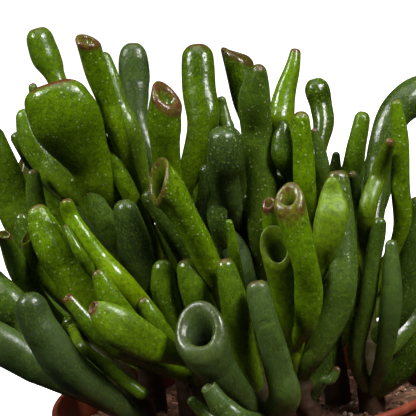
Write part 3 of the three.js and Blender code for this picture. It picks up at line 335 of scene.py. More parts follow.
# Every leaf, stem by stem: how far up its stem it springs, its path, its width at the root and
# at each path point, its depth as a share of its width, its tip (0 for a finger, a power above
# 2 for a blunter one, or for a trumpet the side it faces in degrees, slant, depth of the hollow
# and bore), and its look: how light its green is, where the lowest values, on leaves set deep in
# the plant, also paint the shade they sit in, how much grey bloom it has, how red its tip is,
# and where they are given, how many pale pores it has and how matt and young it is.
LEAVES = {
    "left_low": [
    [0.05, [[-51.5, 9.5, 30], [-58.8, 21.5, 34], [-61.8, 29.5, 34], [-62.4, 36.2, 34]],
     [5, 11.5, 11.3, 10.6, 8], 0.75, 0, [0.12, 0.75, 0.1, 0.1]],
    [0.12, [[-57.3, 10, 18], [-64.2, 14.8, 18], [-71.2, 20.3, 18], [-80, 27.6, 16]],
     [4, 9.5, 11, 12, 10], 0.7, 0, [0.25, 0.8, 0.1, 0.1]],
    [0.95, [[-49, 18.5, 22], [-45, 13.8, 24], [-37, 5.6, 26], [-31, -0.2, 27]], [3, 3.2, 3.4, 3.8, 4.2],
     0.9, 0, [0.7, 0.2, 0.1]],
    [0.5, [[-60.5, 23, 10], [-65.2, 29, 8], [-70, 35.2, 6], [-78, 45.5, 4]], [4, 9, 10.5, 11, 10],
     0.8, 0, [0.2, 0.3, 0.1]],
    ],
    "left_fan": [
    [0.3, [[-15, 9, 24], [-22, 12.6, 29], [-28, 16, 33], [-35.5, 21.5, 37], [-41, 26.5, 38],
     [-43.9, 29.1, 38]], [4, 5, 6.6, 10.5, 12.5, 9, 4.2], 0.5, [-20, 1.5, 1.5, 0.7],
     [0.75, 0.03, 0.9, 0.4, 0.5]],
    [0.35, [[-33, 13, 27], [-39.9, 18.3, 30], [-45.5, 24.5, 30], [-51.1, 33, 28]], [4, 6, 6, 5, 3.6],
     0.6, [20, 1, 1, 0.7], [0.45, 0.1, 0.9]],
    [0.5, [[-31, 19, 26], [-37.5, 29, 30], [-41.6, 40.6, 29]], [4, 8, 8, 3.6],
     0.7, 0, [0.75, 0.05, 0.9, 0.4]],
    [0.55, [[-25, 20.5, 24], [-29.3, 30.7, 24]], [4, 6, 4.5], 0.8, 0, [0.6, 0.1, 0.8]],
    [0.7, [[-33.5, 34, 22], [-40.4, 44.1, 22], [-44.7, 51.7, 22], [-47.3, 58.1, 20], [-48, 62.9, 18]],
     [5, 7, 6.5, 5.8, 4.7, 4], 0.8, 0, [1, 0, 0.9, 0.3]],
    [0.8, [[-42, 29, 14], [-49.4, 40.6, 14], [-52.7, 47, 14], [-55.7, 55, 12], [-57.1, 62.3, 11]],
     [5, 11, 11.3, 10.8, 9, 5], 0.6, 0, [0.9, 0.08, 1, 0.9]],
    [1, [[-28.5, 38, 13], [-29.8, 50, 14], [-31.5, 61, 12]], [4, 9.5, 9.8, 6], 0.8, 0, [0.15, 0.45, 0.2]],
    [0.5, [[-20.6, 22, 15], [-22.3, 32, 15], [-21.7, 41.6, 14]], [4, 6.5, 7.8, 6],
     0.8, 0, [0.5, 0.1, 0.2]],
    [0.6, [[-41, 38, 24], [-45.8, 46, 24], [-49.4, 55.2, 20]], [3, 3.6, 3.4, 2], 0.8, 0, [0.6, 0.1, 0.9]],
    ],
    "left_tall": [
    [1, [[-41.5, 84, -16], [-46.2, 97.8, -20], [-47.7, 102.6, -21.5], [-49.3, 106.9, -22.5],
     [-50.7, 114.7, -24]], [4, 5.4, 5.6, 7.4, 8.6, 7.6], 0.8, 2.2, [0.55, 0.1, 0.7, 0.1]],
    [0.95, [[-36.2, 66, 1], [-39.6, 74.1, 5], [-44.6, 85.4, 9], [-47.2, 92.2, 10], [-48.3, 98.1, 10]],
     [5, 11.8, 14.4, 20.8, 18.8, 15], 0.45, 3.2, [0.58, 0.05, 1.6, 0.5]],
    [0.85, [[-46.5, 66, -8], [-53, 75, -12], [-56.3, 82, -14], [-57.6, 91.3, -16]],
     [4, 7.5, 8.5, 7.5, 4.5], 0.8, 0, [0.75, 0.15, 0.3, 0.6]],
    [0.75, [[-46, 64, -16], [-55, 74.5, -20], [-61.3, 84.3, -22]], [5, 7.5, 6.5, 3.4],
     0.8, 0, [0.45, 0.15, 0.4]],
    [0.95, [[-30.6, 79.8, 5], [-32.5, 90.1, 8], [-34.6, 99.3, 9], [-36.1, 108.4, 10]],
     [5, 6.2, 6.3, 7, 7.2], 0.8, [62, 3.5, 1, 0.45], [0.72, 0.03, 0.9, 0.6]],
    [0.7, [[-29, 62, 4], [-32, 71, 4], [-34, 80.3, 3]], [4, 5.5, 4.5, 2.6], 0.8, 0, [0.9, 0.05, 0.3]],
    [0.9, [[-27, 79, -6], [-29.3, 89, -8], [-31, 97, -10], [-32.3, 105.4, -12]], [7, 7.4, 6, 5.6, 3.6],
     0.8, 0, [0.5, 0.25, 0.4, 0.8]],
    [0.6, [[-33, 48, 2], [-38, 57, 4], [-39.9, 64.6, 4]], [4, 7.5, 6.5, 4], 0.7, [0, -1, 1, 0.7],
     [0.35, 0.35, 0.5]],
    [0.65, [[-37, 54, -3], [-42.5, 62, -3], [-45.5, 69, -3]], [4, 6, 4.5, 2.4], 0.8, 0, [0.5, 0.1, 0.2]],
    [0.6, [[-40, 55, -8], [-45.5, 63, -9], [-49.8, 72.5, -9]], [4, 8, 7, 4], 0.8, 0, [0.3, 0.6, 0.2]],
    [0.9, [[-47, 78, -3], [-52.5, 90, -4], [-53.9, 98.5, -5]], [3, 3.6, 3.4, 2.4],
     0.8, 0, [0.5, 0.2, 0.6]],
    ],
    "middle_left": [
    [0.35, [[-7.2, 32, 16], [-10.2, 44.7, 22], [-13.3, 52.8, 25], [-16.6, 60.5, 27], [-19.8, 64.8, 28]],
     [5, 7.5, 8.6, 8.4, 10.2, 12.4], 1, [-75, 8, 7, 0.7], [0.95, 0.05, 0.7, 1]],
    [0.9, [[-23.5, 80, -16], [-23.9, 91.7, -20], [-23.8, 97, -22], [-23.5, 102.5, -23],
     [-23, 107.2, -24]], [7, 6.2, 7.6, 9, 8.2, 6], 0.7, 2.2, [0.12, 0.6, 0.8, 0.2]],
    [0.85, [[-16.8, 66, 5], [-17, 74, 9], [-16.8, 80, 11], [-16.2, 85, 12], [-15.2, 89, 12.5]],
     [5, 8, 9, 10, 10, 9.8], 0.9, [45, 7, 1.6, 0.45], [0.65, 0.05, 0.9, 0.5]],
    [1, [[-5.8, 78, -10], [-5.2, 92, -15], [-4.4, 104.8, -18]], [4, 9.3, 9.9, 8.4],
     0.6, 2.2, [0.36, 0, 1.1, 0.15]],
    [0.12, [[-9, 16, 14], [-13, 30, 20], [-15.4, 40.9, 20]], [4, 7.5, 8.6, 4.6],
     0.8, 0, [0.55, 0.15, 0.5]],
    [0.6, [[-16, 46, 4], [-19.5, 55, 5], [-24.5, 63, 6]], [4, 7, 7.5, 6], 0.8, 0, [0.1, 0.3, 0.2]],
    [0.7, [[-9, 50, -3], [-6, 60, -5], [-5.6, 69, -6]], [4, 6.5, 6.3, 5.5], 0.8, 0, [0.05, 0.3, 0.2]],
    ],
    "front": [
    [0, [[-5, 0, 33], [-10, 8, 37], [-12.8, 17.2, 39]], [6, 9.5, 12.5, 16.8], 0.9, [-10, 12.5, 9, 0.5],
     [0.12, 0.65, 0.1, 0.05]],
    [0.15, [[-0.5, 10, 24], [-1.9, 26, 28], [-3.6, 39.9, 27]], [5, 7.5, 8.4, 5],
     0.8, 0, [0.55, 0.15, 0.8, 0.15]],
    [0.02, [[10, -5, 31], [9.4, 3.5, 33], [7.9, 14, 35], [6.3, 23, 35], [5.4, 32.1, 34]],
     [6, 9.6, 9, 8, 7.4, 6.7], 0.7, 2.3, [0.35, 0.75, 0.7, 0.1]],
    [0, [[-3, -11, 40], [-8.5, -6, 42], [-12.2, 0.8, 42]], [5, 7.5, 7.5, 5], 0.7, [0, 1, 1, 0.7],
     [0.3, 0.8, 0.2, 0.3]],
    [0, [[-10, -10, 32], [-15, -6, 32], [-18.6, -1.6, 32]], [3, 3.5, 4, 3], 0.8, 0, [0.2, 0.4, 0.2]],
    [1, [[0, 32, 14], [-0.3, 42, 13], [-0.9, 51.5, 12]], [3, 4, 3.5, 2.2], 0.8, 0, [0.75, 0.1, 0.1]],
    ],
    "middle_tall": [
    [0.7, [[-1, 62, 4], [0, 70, 10], [1, 79.6, 12]], [5, 9.6, 10.4, 9.6],
     0.9, 2.3, [0.08, 0.5, 0.15, 0.5]],
    [0.5, [[-3.5, 48, 2], [-3.3, 57, 4], [-2.6, 64, 4]], [4, 6, 6, 4.4], 0.8, 0, [0.05, 0.3, 0.2]],
    [0.95, [[3, 72, -11], [1.6, 79, -13], [1, 85, -14.5], [0.9, 88.5, -15]], [3.5, 5.4, 4.4, 3.4, 2.6],
     0.8, 0, [0.5, 0.4, 0.3]],
    [1, [[9, 76, -16], [8, 87, -22], [6.8, 99.2, -26]], [4, 6.6, 7.8, 8.5], 0.8, [70, 6, 1.2, 0.3],
     [0.08, 0, 0.5, 0.2]],
    [0.5, [[8.3, 48, -1], [10.2, 61, 1], [10.3, 76, 2], [10.5, 85.5, 4], [11.4, 90.3, 6],
     [13.2, 96.6, 8]], [5, 8.2, 9.2, 9.6, 10, 8.6, 3.6], 0.8, 0, [0.35, 0.3, 0.9, 1]],
    [0.3, [[2, 32, 0], [0, 42, 0], [-4.5, 49.6, 0]], [4, 7, 7.5, 4.6], 0.7, 0, [0.1, 0.9, 0.1]],
    [0.55, [[7, 44, -10], [10, 54, -11], [12, 61, -11]], [4, 6, 6, 4], 0.8, 0, [0.05, 0.2, 0.2]],
    ],
    "front_right": [
    [0.32, [[15.4, 11.5, 22], [18.6, 17.5, 26], [20.6, 26, 29], [20.4, 36.5, 31], [17.6, 54.4, 31]],
     [3.4, 3.6, 6.4, 8.2, 7.8, 9.7], 0.75, [-15, 8, 6, 0.36], [1, 0.05, 0.75, 0.4]],
    [0.3, [[13.6, 14, 20], [13.6, 27, 26], [12.3, 41, 31]], [4.5, 8.8, 9, 9.7], 0.7, [0, 11.5, 5, 0.66],
     [0.9, 0.03, 0.2, 0.1, 0.6]],
    [0.6, [[12.4, 30, 20], [11.6, 44, 24], [11.6, 54.4, 25]], [3, 4.5, 5.5, 4.2], 0.8, [-20, 3, 2, 0.5],
     [0.85, 0.05, 1, 0.3]],
    [0.9, [[25.6, 34, 19], [27.3, 41.5, 20], [29.9, 49.5, 21], [30.4, 55.1, 20.5], [31, 60.7, 20]],
     [4, 4, 8.6, 10.2, 7.2, 3], 0.5, 0, [0.95, 0, 0.2, 0.1, 1]],
    [0.28, [[21, 8.3, 21], [27.3, 18.4, 22], [30.7, 28, 21], [32.2, 42, 18], [32.7, 62.6, 13]],
     [4.5, 6.6, 8.6, 9, 8, 6.2], 0.7, 2.4, [0.45, 0.5, 0.6, 0.4]],
    [1, [[34.8, 38, 10], [37.2, 50, 10], [37.2, 61.7, 10]], [3.6, 4.4, 4.4, 3], 0.8, 0, [0.25, 0.6, 0.5]],
    [0.1, [[17.5, -3.5, 12], [21.5, 3, 11], [26, 14, 9], [29, 24, 6]], [6, 7.5, 7.5, 7, 4],
     0.8, 0, [0.1, 0.3, 0.1]],
    [0.02, [[21.5, -1.5, 19], [24.5, -0.6, 20], [27.2, 2.8, 20]], [2.4, 2.6, 3.2, 2.4],
     0.8, 0, [0.35, 0.7, 0.9]],
    ],
    "right_tall": [
    [1, [[18.2, 76, -4], [18.4, 82.5, -6], [20, 88, -8], [22.7, 94.5, -10], [24.3, 100, -12]],
     [4, 6.8, 7.4, 6, 4.5, 2.9], 0.9, 2.6, [0.85, 0, 1.2, 0.1]],
    [0.9, [[17.5, 62, -4], [16.2, 70, -5], [18.5, 79, -6]], [4, 7, 6.5, 3], 0.6, 0, [0.15, 0.1, 0.1, 0.2]],
    [0.95, [[28, 70, -16], [30, 76.7, -20], [29.8, 82.4, -23], [29.2, 86.8, -24], [28.5, 90.8, -25]],
     [4, 5, 6, 6.6, 7.4, 6.6], 0.9, 2.1, [0.15, 0.1, 0.3, 0.4]],
    [0.55, [[22.8, 55, 8], [23.2, 68, 10], [23.7, 81.5, 10]], [5, 6.6, 6.2, 4.4],
     0.9, 0, [1, 0.05, 1, 0.8]],
    [0.75, [[27.8, 60, 2], [28.3, 68, 3], [27, 76, 3]], [3.5, 4.4, 3.8, 1.8], 0.9, 0, [0.4, 0.5, 0.8]],
    [0.8, [[31, 56, -8], [32, 62, -9], [33, 68.2, -10]], [3.5, 5, 4, 2], 0.8, 0, [0.3, 0.3, 0.3]],
    [0.7, [[35.8, 60, -2], [39.3, 70, -1], [42.2, 79.4, -2]], [4, 6, 6, 4.4],
     0.9, 0, [0.5, 0.1, 0.3, 0.6]],
    [0.95, [[18, 66, 2], [17.4, 72, 3], [18.4, 79.5, 3]], [4, 6, 6.4, 3], 0.8, 0, [0.14, 0.1, 0.1, 0.15]],
    [0.4, [[29, 36, 2], [32, 48, 2], [34, 58, 0]], [4, 7, 7, 5], 0.8, 0, [0.1, 0.3, 0.2]],
    [0.45, [[19, 36, -2], [16, 46, -4], [13.8, 65, -4]], [4, 7, 8, 6.5], 0.8, 0, [0.05, 0.2, 0.2]],
    ],
    "far_right": [
    [0.85, [[44.5, 60, -14], [47.5, 70, -17], [51.5, 77.5, -20], [57.8, 82, -23], [64, 84, -26]],
     [5, 7.5, 8.5, 10, 10.5, 9], 0.8, 0, [0.15, 0.35, 0.3, 0.3]],
    [0.6, [[49.3, 40, 8], [50.9, 56.6, 12], [52.2, 70, 14], [52, 81.8, 14]], [4, 5.4, 5.5, 5, 3.2],
     0.9, 0, [1, 0.1, 0.6, 0.9]],
    [0.7, [[40, 48, 14], [45, 60, 19], [49.4, 70, 21]], [4, 5.4, 5, 3], 0.9, 0, [0.5, 0.05, 1, 0.3, 0.6]],
    [0, [[32.8, 6, 14], [37.5, 22, 19], [40.7, 34.9, 20], [42.8, 42.3, 20], [44.2, 46.9, 20]],
     [4, 5.6, 5.6, 4.8, 4.7, 3.6], 0.9, 0, [0.35, 0.4, 0.3, 0.15]],
    [0, [[40.8, 4, 18], [44.8, 22, 22], [46.6, 40, 20]], [4, 5.6, 6.8, 3.4], 0.9, 0, [0.3, 0.6, 0.2, 0.1]],
    [0.35, [[47, 18, 8], [52, 34, 8], [56, 52, 8]], [4, 7.5, 8, 6], 0.9, 0, [0.15, 0.3, 0.2]],
    [0, [[44, -2, 12], [51, 5, 14], [60, 15, 14]], [4, 7, 8, 6], 0.8, 0, [0.2, 0.2, 0.2]],
    [0.6, [[50, 38, -8], [60, 50, -11], [67, 62, -14]], [4, 7, 8, 7], 0.8, [40, 5, 4, 0.6],
     [0.6, 0.1, 0.5]],
    [0.5, [[52, 28, -2], [62, 38, -2], [70, 54, -4]], [4, 8, 9, 7], 0.7, 0, [0.5, 0.2, 0.4]],
    [0.2, [[48, 12, -6], [60, 20, -10], [74, 30, -14]], [4, 8, 9, 8], 0.7, 0, [0.3, 0.4, 0.3]],
    ],
    "far_left": [
    [0.35, [[-57.5, 28, 8.5], [-63.8, 42, 11], [-67.6, 54.2, 9]], [4, 7, 7.4, 3.8], 0.7, [60, 2, 1, 0.7],
     [0.5, 0.2, 0.8]],
    [0.7, [[-56, 38, 4], [-60, 45.5, 6], [-60.7, 52.4, 6]], [4, 5.5, 5.6, 5], 0.7, [-70, 4, 2, 0.7],
     [0.6, 0.1, 0.5]],
    [0.9, [[-58.5, 46, 1], [-61.8, 54, 0], [-61.4, 60.3, -1]], [4, 6, 5.5, 3.6], 0.8, 0, [0.2, 0.2, 0.3]],
    [1, [[-60, 54, -9], [-63.5, 64, -11], [-66.3, 76, -13], [-68.5, 87.5, -14]], [5, 11, 11.5, 10, 7],
     0.8, 0, [0.5, 0.1, 0.3]],
    [1, [[-56, 52, -4], [-57, 62, -4], [-56.7, 73, -4]], [4, 6.5, 6, 3.6], 0.8, 0, [0.4, 0.3, 0.5]],
    ],
    "back_left": [
    [1, [[-41, 56, -27], [-44, 70, -29], [-46, 86, -30]], [4, 8, 9, 8], 0.7, [150, 6, 5, 0.6],
     [0.6, 0.1, 0.4]],
    ],
    "back_middle": [
    [1, [[-7, 60, -30], [-6, 76, -33], [-5, 92, -34]], [4, 7.5, 8, 7], 0.8, 0, [0.4, 0.1, 0.3]],
    [0.9, [[-12, 54, -32], [-17, 68, -34], [-17.8, 84, -36]], [4, 7.5, 8, 7], 0.8, [170, 5, 5, 0.6],
     [0.5, 0.1, 0.4]],
    ],
    "back_right": [
    [0.9, [[24, 50, -30], [17, 66, -32], [11, 86, -33]], [4, 7, 8, 6.6], 0.8, 0, [0.5, 0.1, 0.3]],
    [1, [[31, 52, -28], [25, 62, -28], [23.5, 76, -28]], [4, 6.5, 6.5, 5], 0.8, 0, [0.4, 0.2, 0.3]],
    [1, [[40, 50, -30], [45, 60, -30], [48.5, 71, -31]], [4, 7, 8, 7], 0.8, [160, 5, 5, 0.6],
     [0.5, 0.1, 0.4]],
    ],
}

# Leaves round the back follow a rule: they turn by the golden angle up each back stem, the low
# ones reach out wide, the high ones stand up, and every third is a finger, the rest trumpets.
BACK_STEMS = {"back_left": -1, "back_middle": 0, "back_right": 1}
BACK_LEAVES = 8


def place(p):
    """Points in mm of (across, up, near) points: on the upright plane through the pot's axis,
    up counted from the rim, then moved `near` mm along the sight line toward the eye."""
    p = np.asarray(p, float)
    q = np.stack([p[..., 0], 0 * p[..., 0], p[..., 1] + POT_HEIGHT], axis=-1)
    return q + (EYE - q) * (p[..., 2:] / -EYE[1])


def blend(n, t):
    """Weights (len(t), n) of a smooth curve through n points at positions t from 0 to 1: each
    span is the Catmull-Rom cubic, and the end points are mirrored to give the ends a slope."""
    x = np.clip(t, 0, 1) * (n - 1)
    i = np.minimum(x.astype(int), n - 2)
    f = x - i
    w = np.zeros((len(x), n + 2))
    row = np.arange(len(x))
    for k, c in enumerate([-0.5 * f + f ** 2 - 0.5 * f ** 3, 1 - 2.5 * f ** 2 + 1.5 * f ** 3,
                           0.5 * f + 2 * f ** 2 - 1.5 * f ** 3, -0.5 * f ** 2 + 0.5 * f ** 3]):
        w[row, i + k] += c
    inner = w[:, 1:-1].copy()
    inner[:, 0] += 2 * w[:, 0]
    inner[:, 1] -= w[:, 0]
    inner[:, -1] += 2 * w[:, -1]
    inner[:, -2] -= w[:, -1]
    return inner


def heading(points, t):
    """Unit directions of the curve through the points at t, from a short chord about t."""
    low, high = np.clip(t - 1e-4, 0, 1), np.clip(t + 1e-4, 0, 1)
    step = (blend(len(points), high) - blend(len(points), low)) @ points
    return step / np.linalg.norm(step, axis=1, keepdims=True)


def stem_path(name):
    """A stem's path with its first point raised to the height at which it leaves the soil."""
    path = np.array(STEMS[name][2], float)
    s = path[0, 2] / -EYE[1]
    path[0, 1] = (STEM_FREE - EYE[2] * s) / (1 - s) - POT_HEIGHT
    return path


def seeded(i, j):
    """A number from 0 to 1 that looks random: the fraction of a large multiple of a sine."""
    v = np.sin(i * 12.9898 + j * 78.233 + 1.7) * 43758.5453
    return v - np.floor(v)


for q, (name, lean) in enumerate(BACK_STEMS.items()):
    for j in range(BACK_LEAVES):
        k = 0.12 + 0.8 * j / (BACK_LEAVES - 1)
        turn = j * 2.4 + 3
        root = (blend(4, np.array([k])) @ stem_path(name))[0]
        side, back = np.sin(turn), 0.5 + 0.5 * np.cos(turn)
        long = 46 - 14 * k + 6 * seeded(q, j)
        reach = 0.75 - 0.45 * k
        tip = root + [long * (0.93 * side * reach + 0.25 * lean), long * (0.6 + 0.35 * k) + 3,
                      -long * (0.15 + 0.85 * back) * reach - 2]
        mid = root * [0.45, 0.5, 0.4] + tip * [0.55, 0.5, 0.6]
        wide = 6.5 + 2.5 * seeded(q + 5, j)
        LEAVES[name].append([k, [mid, tip], [4, wide, wide * 0.8], 0.8,
                             0 if j % 3 else [-60 if side < 0 else 60, 5, 4, 0.6],
                             [0.3 + 0.4 * seeded(q, j + 9), 0.3 * seeded(q + 1, j), 0.5]])


def depth_share(depth, t):
    """How deep a leaf is for its width at t: round at the root, `depth` from half way up."""
    return 1 + (depth - 1) * np.clip(t / 0.5, 0, 1)


def settle(leaves):
    """Slides leaves that would cross apart along their sight lines, so that their outline from
    the eye stays. Each leaf is sampled by three lanes of balls and each stem by one lane of fixed
    balls; a pair closer than its radii and LEAF_GAP is pushed apart, round after round."""
    count = len(leaves)
    lanes = np.repeat([-1.0, 0.0, 1.0], LANE_BALLS)
    t = np.tile((np.arange(LANE_BALLS) + 0.6) / LANE_BALLS, 3)
    most = max(len(leaf["path"]) for leaf in leaves)
    near = np.zeros((count, most))
    balls = []
    stem_number = {name: k for k, name in enumerate(STEMS)}
    for i, leaf in enumerate(leaves):
        path, width = leaf["path"], np.array(leaf["width"], float)
        near[i, :len(path)] = path[:, 2]
        weights = blend(len(path), t)
        half = weights @ width / 2
        radius = np.minimum(half, half * depth_share(leaf["depth"], t))
        along = heading(path, t)
        across = np.stack([-along[:, 1], along[:, 0]], axis=-1)
        across /= np.linalg.norm(across, axis=1, keepdims=True) + 1e-9
        balls.append(((weights @ path)[:, :2] + across * ((half - radius) * lanes)[:, None], radius,
                      np.pad(weights, ((0, 0), (0, most - len(path)))), np.full(len(t), i), t,
                      np.full(len(t), stem_number[leaf["stem"]]), np.full(len(t), np.nan)))
    s = np.linspace(0, 1, STEM_BALLS)
    for name, (low, high, _) in STEMS.items():
        at, k = blend(4, s) @ stem_path(name), stem_number[name]
        balls.append((at[:, :2], low + (high - low) * s, np.zeros((STEM_BALLS, most)),
                      np.full(STEM_BALLS, count + k), np.ones(STEM_BALLS), np.full(STEM_BALLS, k),
                      at[:, 2]))
    xy, r, w, owner, ball_t, stem, fixed = map(np.concatenate, zip(*balls))
    still = ~np.isnan(fixed)

    def depths():
        z = fixed.copy()
        z[~still] = (w[~still] * near[owner[~still]]).sum(axis=1)
        return z
    a, b = np.triu_indices(len(xy), 1)
    apart = np.linalg.norm(xy[a] - xy[b], axis=1)
    need = r[a] + r[b] + LEAF_GAP
    keep = (owner[a] != owner[b]) & (apart < need) & ~(still[a] & still[b])
    keep &= ~((stem[a] == stem[b]) & ((ball_t[a] < 0.5) | (ball_t[b] < 0.5) | still[a] | still[b]))
    a, b, apart, need = a[keep], b[keep], apart[keep], need[keep]
    want = np.sqrt(need ** 2 - apart ** 2)
    z = depths()
    _, pair = np.unique(owner[a] * 1000 + owner[b], return_inverse=True)
    sign = np.sign(np.bincount(pair, weights=(z[a] - z[b]) * want) + 1e-6)[pair]
    for _ in range(ROUNDS):
        z = depths()
        short = want - sign * (z[a] - z[b])
        hit = short > 0
        free = 2 - still[a[hit]].astype(int) - still[b[hit]]
        push, load = np.zeros_like(near), np.full_like(near, 0.3)
        for ball, way in ((a[hit], sign[hit]), (b[hit], -sign[hit])):
            moves = ~still[ball]
            ball, step = ball[moves], (way * short[hit] / free)[moves]
            np.add.at(push, owner[ball], w[ball] * step[:, None])
            np.add.at(load, owner[ball], w[ball] ** 2)
        step = 0.8 * push / load
        step[:, 0] = 0
        near += step
    for i, leaf in enumerate(leaves):
        leaf["path"][:, 2] = near[i, :len(leaf["path"])]


leaves = []
for name, rows in LEAVES.items():
    for k, path, width, depth, mouth, look in rows:
        root = blend(4, np.array([k])) @ stem_path(name)
        leaves.append({"stem": name, "path": np.vstack([root, path]), "width": width,
                       "depth": depth, "mouth": mouth, "look": look})
settle(leaves)


# Folds of single leaves: angle round the leaf in degrees (0 its right side, 270 toward the
# eye), the shares of its length between which the fold runs, height in mm (below zero a
# crease), and half width in degrees.
FOLDS = {
    ("left_tall", 1): [[318, 0.5, 1.0, 0.75, 13], [300, 0.5, 1.0, -0.35, 10], [232, 0.6, 1.0, 0.3, 16]],
    ("left_fan", 5): [[306, 0.25, 0.95, 0.6, 12], [292, 0.3, 0.9, -0.3, 9]],
    ("left_fan", 0): [[250, 0.5, 0.9, 0.3, 14]],
    ("middle_left", 0): [[300, 0.3, 0.9, 0.3, 16]],
    ("middle_tall", 4): [[262, 0.78, 1.0, 0.5, 18], [215, 0.8, 0.98, -0.3, 16]],
    ("front", 2): [[300, 0.4, 0.75, 0.4, 14], [262, 0.7, 0.735, -0.7, 34], [318, 0.52, 0.55, -0.4, 24]],
    ("front_right", 0): [[330, 0.1, 0.6, 0.5, 14]],
    ("front_right", 3): [[318, 0.5, 1.0, 0.45, 14]],
    ("front_right", 4): [[300, 0.3, 0.8, 0.3, 14]],
    ("far_right", 1): [[262, 0.5, 0.95, 0.25, 16]],
}


def leaf_skin(leaf, number, folds):
    """Rings along the leaf's path. With C the path, `right` and `away` the directions across
    and along the sight line and `up` along the leaf, a ring's point at angle a is
    C + right*h*cos a + away*h*depth*sin a + up*(level - shear*cos(a turned to the slant)).
    A finger's rings close in a superellipse with a small dimple. A trumpet's rings are sheared
    by its slant, turn over a half-round lip, and go down by sin(s)^funnel to the foot of the
    hollow, which leans aside. Slow sines of its own swell and flatten each leaf, and a fold adds
    height*exp(-(angle from it / its width)^2) over its run."""
    path, depth, mouth = leaf["path"], leaf["depth"], leaf["mouth"]
    points = place(path)
    wide = np.array(leaf["width"]) * (1 - path[:, 2] / -EYE[1])
    last = wide[-1]
    length = np.linalg.norm(np.diff(points, axis=0), axis=1).sum()
    own = [seeded(number, k) * 2 * np.pi for k in range(6)]
    light, bloom, red = leaf["look"][:3]
    pores = leaf["look"][3] if len(leaf["look"]) > 3 else 0.15 + 0.35 * seeded(number, 7)
    matt = leaf["look"][4] if len(leaf["look"]) > 4 else 0
    body = np.linspace(0.6 / length, 1, BODY_RINGS)
    trumpet = isinstance(mouth, list)
    if trumpet:
        facing, slant, hollow, bore = mouth
        over, cup = np.linspace(0, LIP_TURN, LIP_RINGS + 1)[1:], np.linspace(0, 1, HOLLOW_RINGS + 2)[1:-1]
        lip = LIP_HEIGHT * last * (1 - bore)
        edge, drop = 1 - (1 - bore) * (1 - np.cos(over[-1])) / 2, lip * np.sin(over[-1])
        fall = np.sin(cup * np.pi / 2) ** (0.95 + 0.9 * np.clip((hollow - 2) / 6, 0, 1))
        t = np.concatenate([body, np.ones(len(over) + len(cup))])
        share = np.concatenate([np.ones(BODY_RINGS), 1 - (1 - bore) * (1 - np.cos(over)) / 2,
                                edge * (1 - cup)])
        level = np.concatenate([np.zeros(BODY_RINGS), lip * np.sin(over), drop - (hollow + drop) * fall])
        pole_level = -hollow
        to_lip = np.concatenate([(1 - body) * length, 0 * over, 0.6 * last * cup])
        redness = red * np.exp(-(to_lip / (0.6 + 0.9 * red)) ** 2)
        # Painted shade: a trumpet's hollow is darkened more the deeper it is and the further down its wall
        # it goes.
        dark = np.clip((hollow - 1) / 5, 0.15, 1)
        inside = dark * np.concatenate([np.zeros(BODY_RINGS + len(over)), np.clip(fall * 2.2, 0, 1)])
    else:
        facing, slant = 0, 0
        blunt = mouth or 2
        speed = 1000 * np.linalg.norm(blend(len(points), np.array([0.999])) @ points - points[-1])
        end = max(0.6, 1 - min(1.1 / blunt * last, 0.45 * length) / speed)
        dome = np.linspace(0, np.pi / 2, TIP_RINGS + 2)[1:-1]
        t = np.concatenate([body * end, end + (1 - end) * np.sin(dome) ** (2 / blunt)])
        share = np.concatenate([np.ones(BODY_RINGS), np.cos(dome) ** (2 / blunt)])
        pole_level = -TIP_DIMPLE * last
        level = pole_level * np.exp(-(share / 0.34) ** 2)
        redness = red * np.exp(-((1 - t) * length / (0.7 + 1.3 * red)) ** 2)
        inside = np.zeros(len(t))
    n = len(points)
    w = blend(n, t)
    centre, up = w @ points, heading(points, t)
    toward = EYE - points[-1]
    toward /= np.linalg.norm(toward)
    away = -(toward - (up @ toward)[:, None] * up)
    away /= np.linalg.norm(away, axis=1, keepdims=True)
    right = np.cross(away, up)
    a = 2 * np.pi * np.arange(LEAF_SIDES) / LEAF_SIDES
    rise = np.clip((t - 0.45) / 0.55, 0, 1)
    rise = rise * rise * (3 - 2 * rise)
    swell = 1 + 0.025 * np.sin(8 * t + own[0]) + 0.012 * np.sin(19 * t + own[1])
    half = (w @ wide) / 2 * share * swell
    lobes = 1 + 0.025 * np.cos(2 * a + own[2]) + 0.022 * np.cos(3 * a + own[3] + 3 * t[:, None])
    if trumpet:
        fold = -np.pi / 2 + 0.8 * np.sin(own[4])
        lobes = lobes - 0.07 * rise[:, None] * np.exp(-((a - 2 * np.pi - fold + np.pi) % (2 * np.pi)
                                                        - np.pi) ** 2 / 0.09)
    half = half[:, None] * lobes
    for at, start, stop, high, spread in folds:
        off = (np.degrees(a) - at + 180) % 360 - 180
        run = np.clip(1 - ((t - (start + stop) / 2) / ((stop - start) / 2)) ** 2, 0, 1)
        half = half + (high * run * share)[:, None] * np.exp(-(off / spread) ** 2)
    tilt = np.cos(a) * np.sin(np.radians(facing)) - np.sin(a) * np.cos(np.radians(facing))
    lift = level[:, None] - (slant / 2 * rise * share)[:, None] * tilt
    if trumpet:
        lift = lift + 0.035 * last * (rise * share)[:, None] * np.sin(2 * a + own[5])
        centre = centre + right * (inside * 0.07 * last * np.sin(own[5]))[:, None]
    rings = (centre[:, None] + right[:, None] * (half * np.cos(a))[..., None]
             + away[:, None] * (half * depth_share(depth, t)[:, None] * np.sin(a))[..., None]
             + up[:, None] * lift[..., None])
    skin = closed_skin(rings, [points[0]], [centre[-1] + up[-1] * pole_level])
    near_tip = np.exp(-(1 - t) * length / 9)
    ends = ([t[0]], [1.0]), ([redness[0]], [redness[-1]]), ([0.0], [inside[-1]]), ([0.0], [1.0])
    marks = [np.concatenate([np.repeat(v, LEAF_SIDES), *e])
             for v, e in zip((t, redness, inside, near_tip), ends)]
    same = np.ones(len(skin[0]))
    return skin, {"along": marks[0], "red": marks[1], "inside": marks[2], "light": light * same,
                  "bloom": bloom * same, "bark": 0 * same, "matt": matt * same,
                  "pores": pores * (0.5 + 0.5 * marks[3]) * (1 - np.clip(3 * marks[2], 0, 1))}


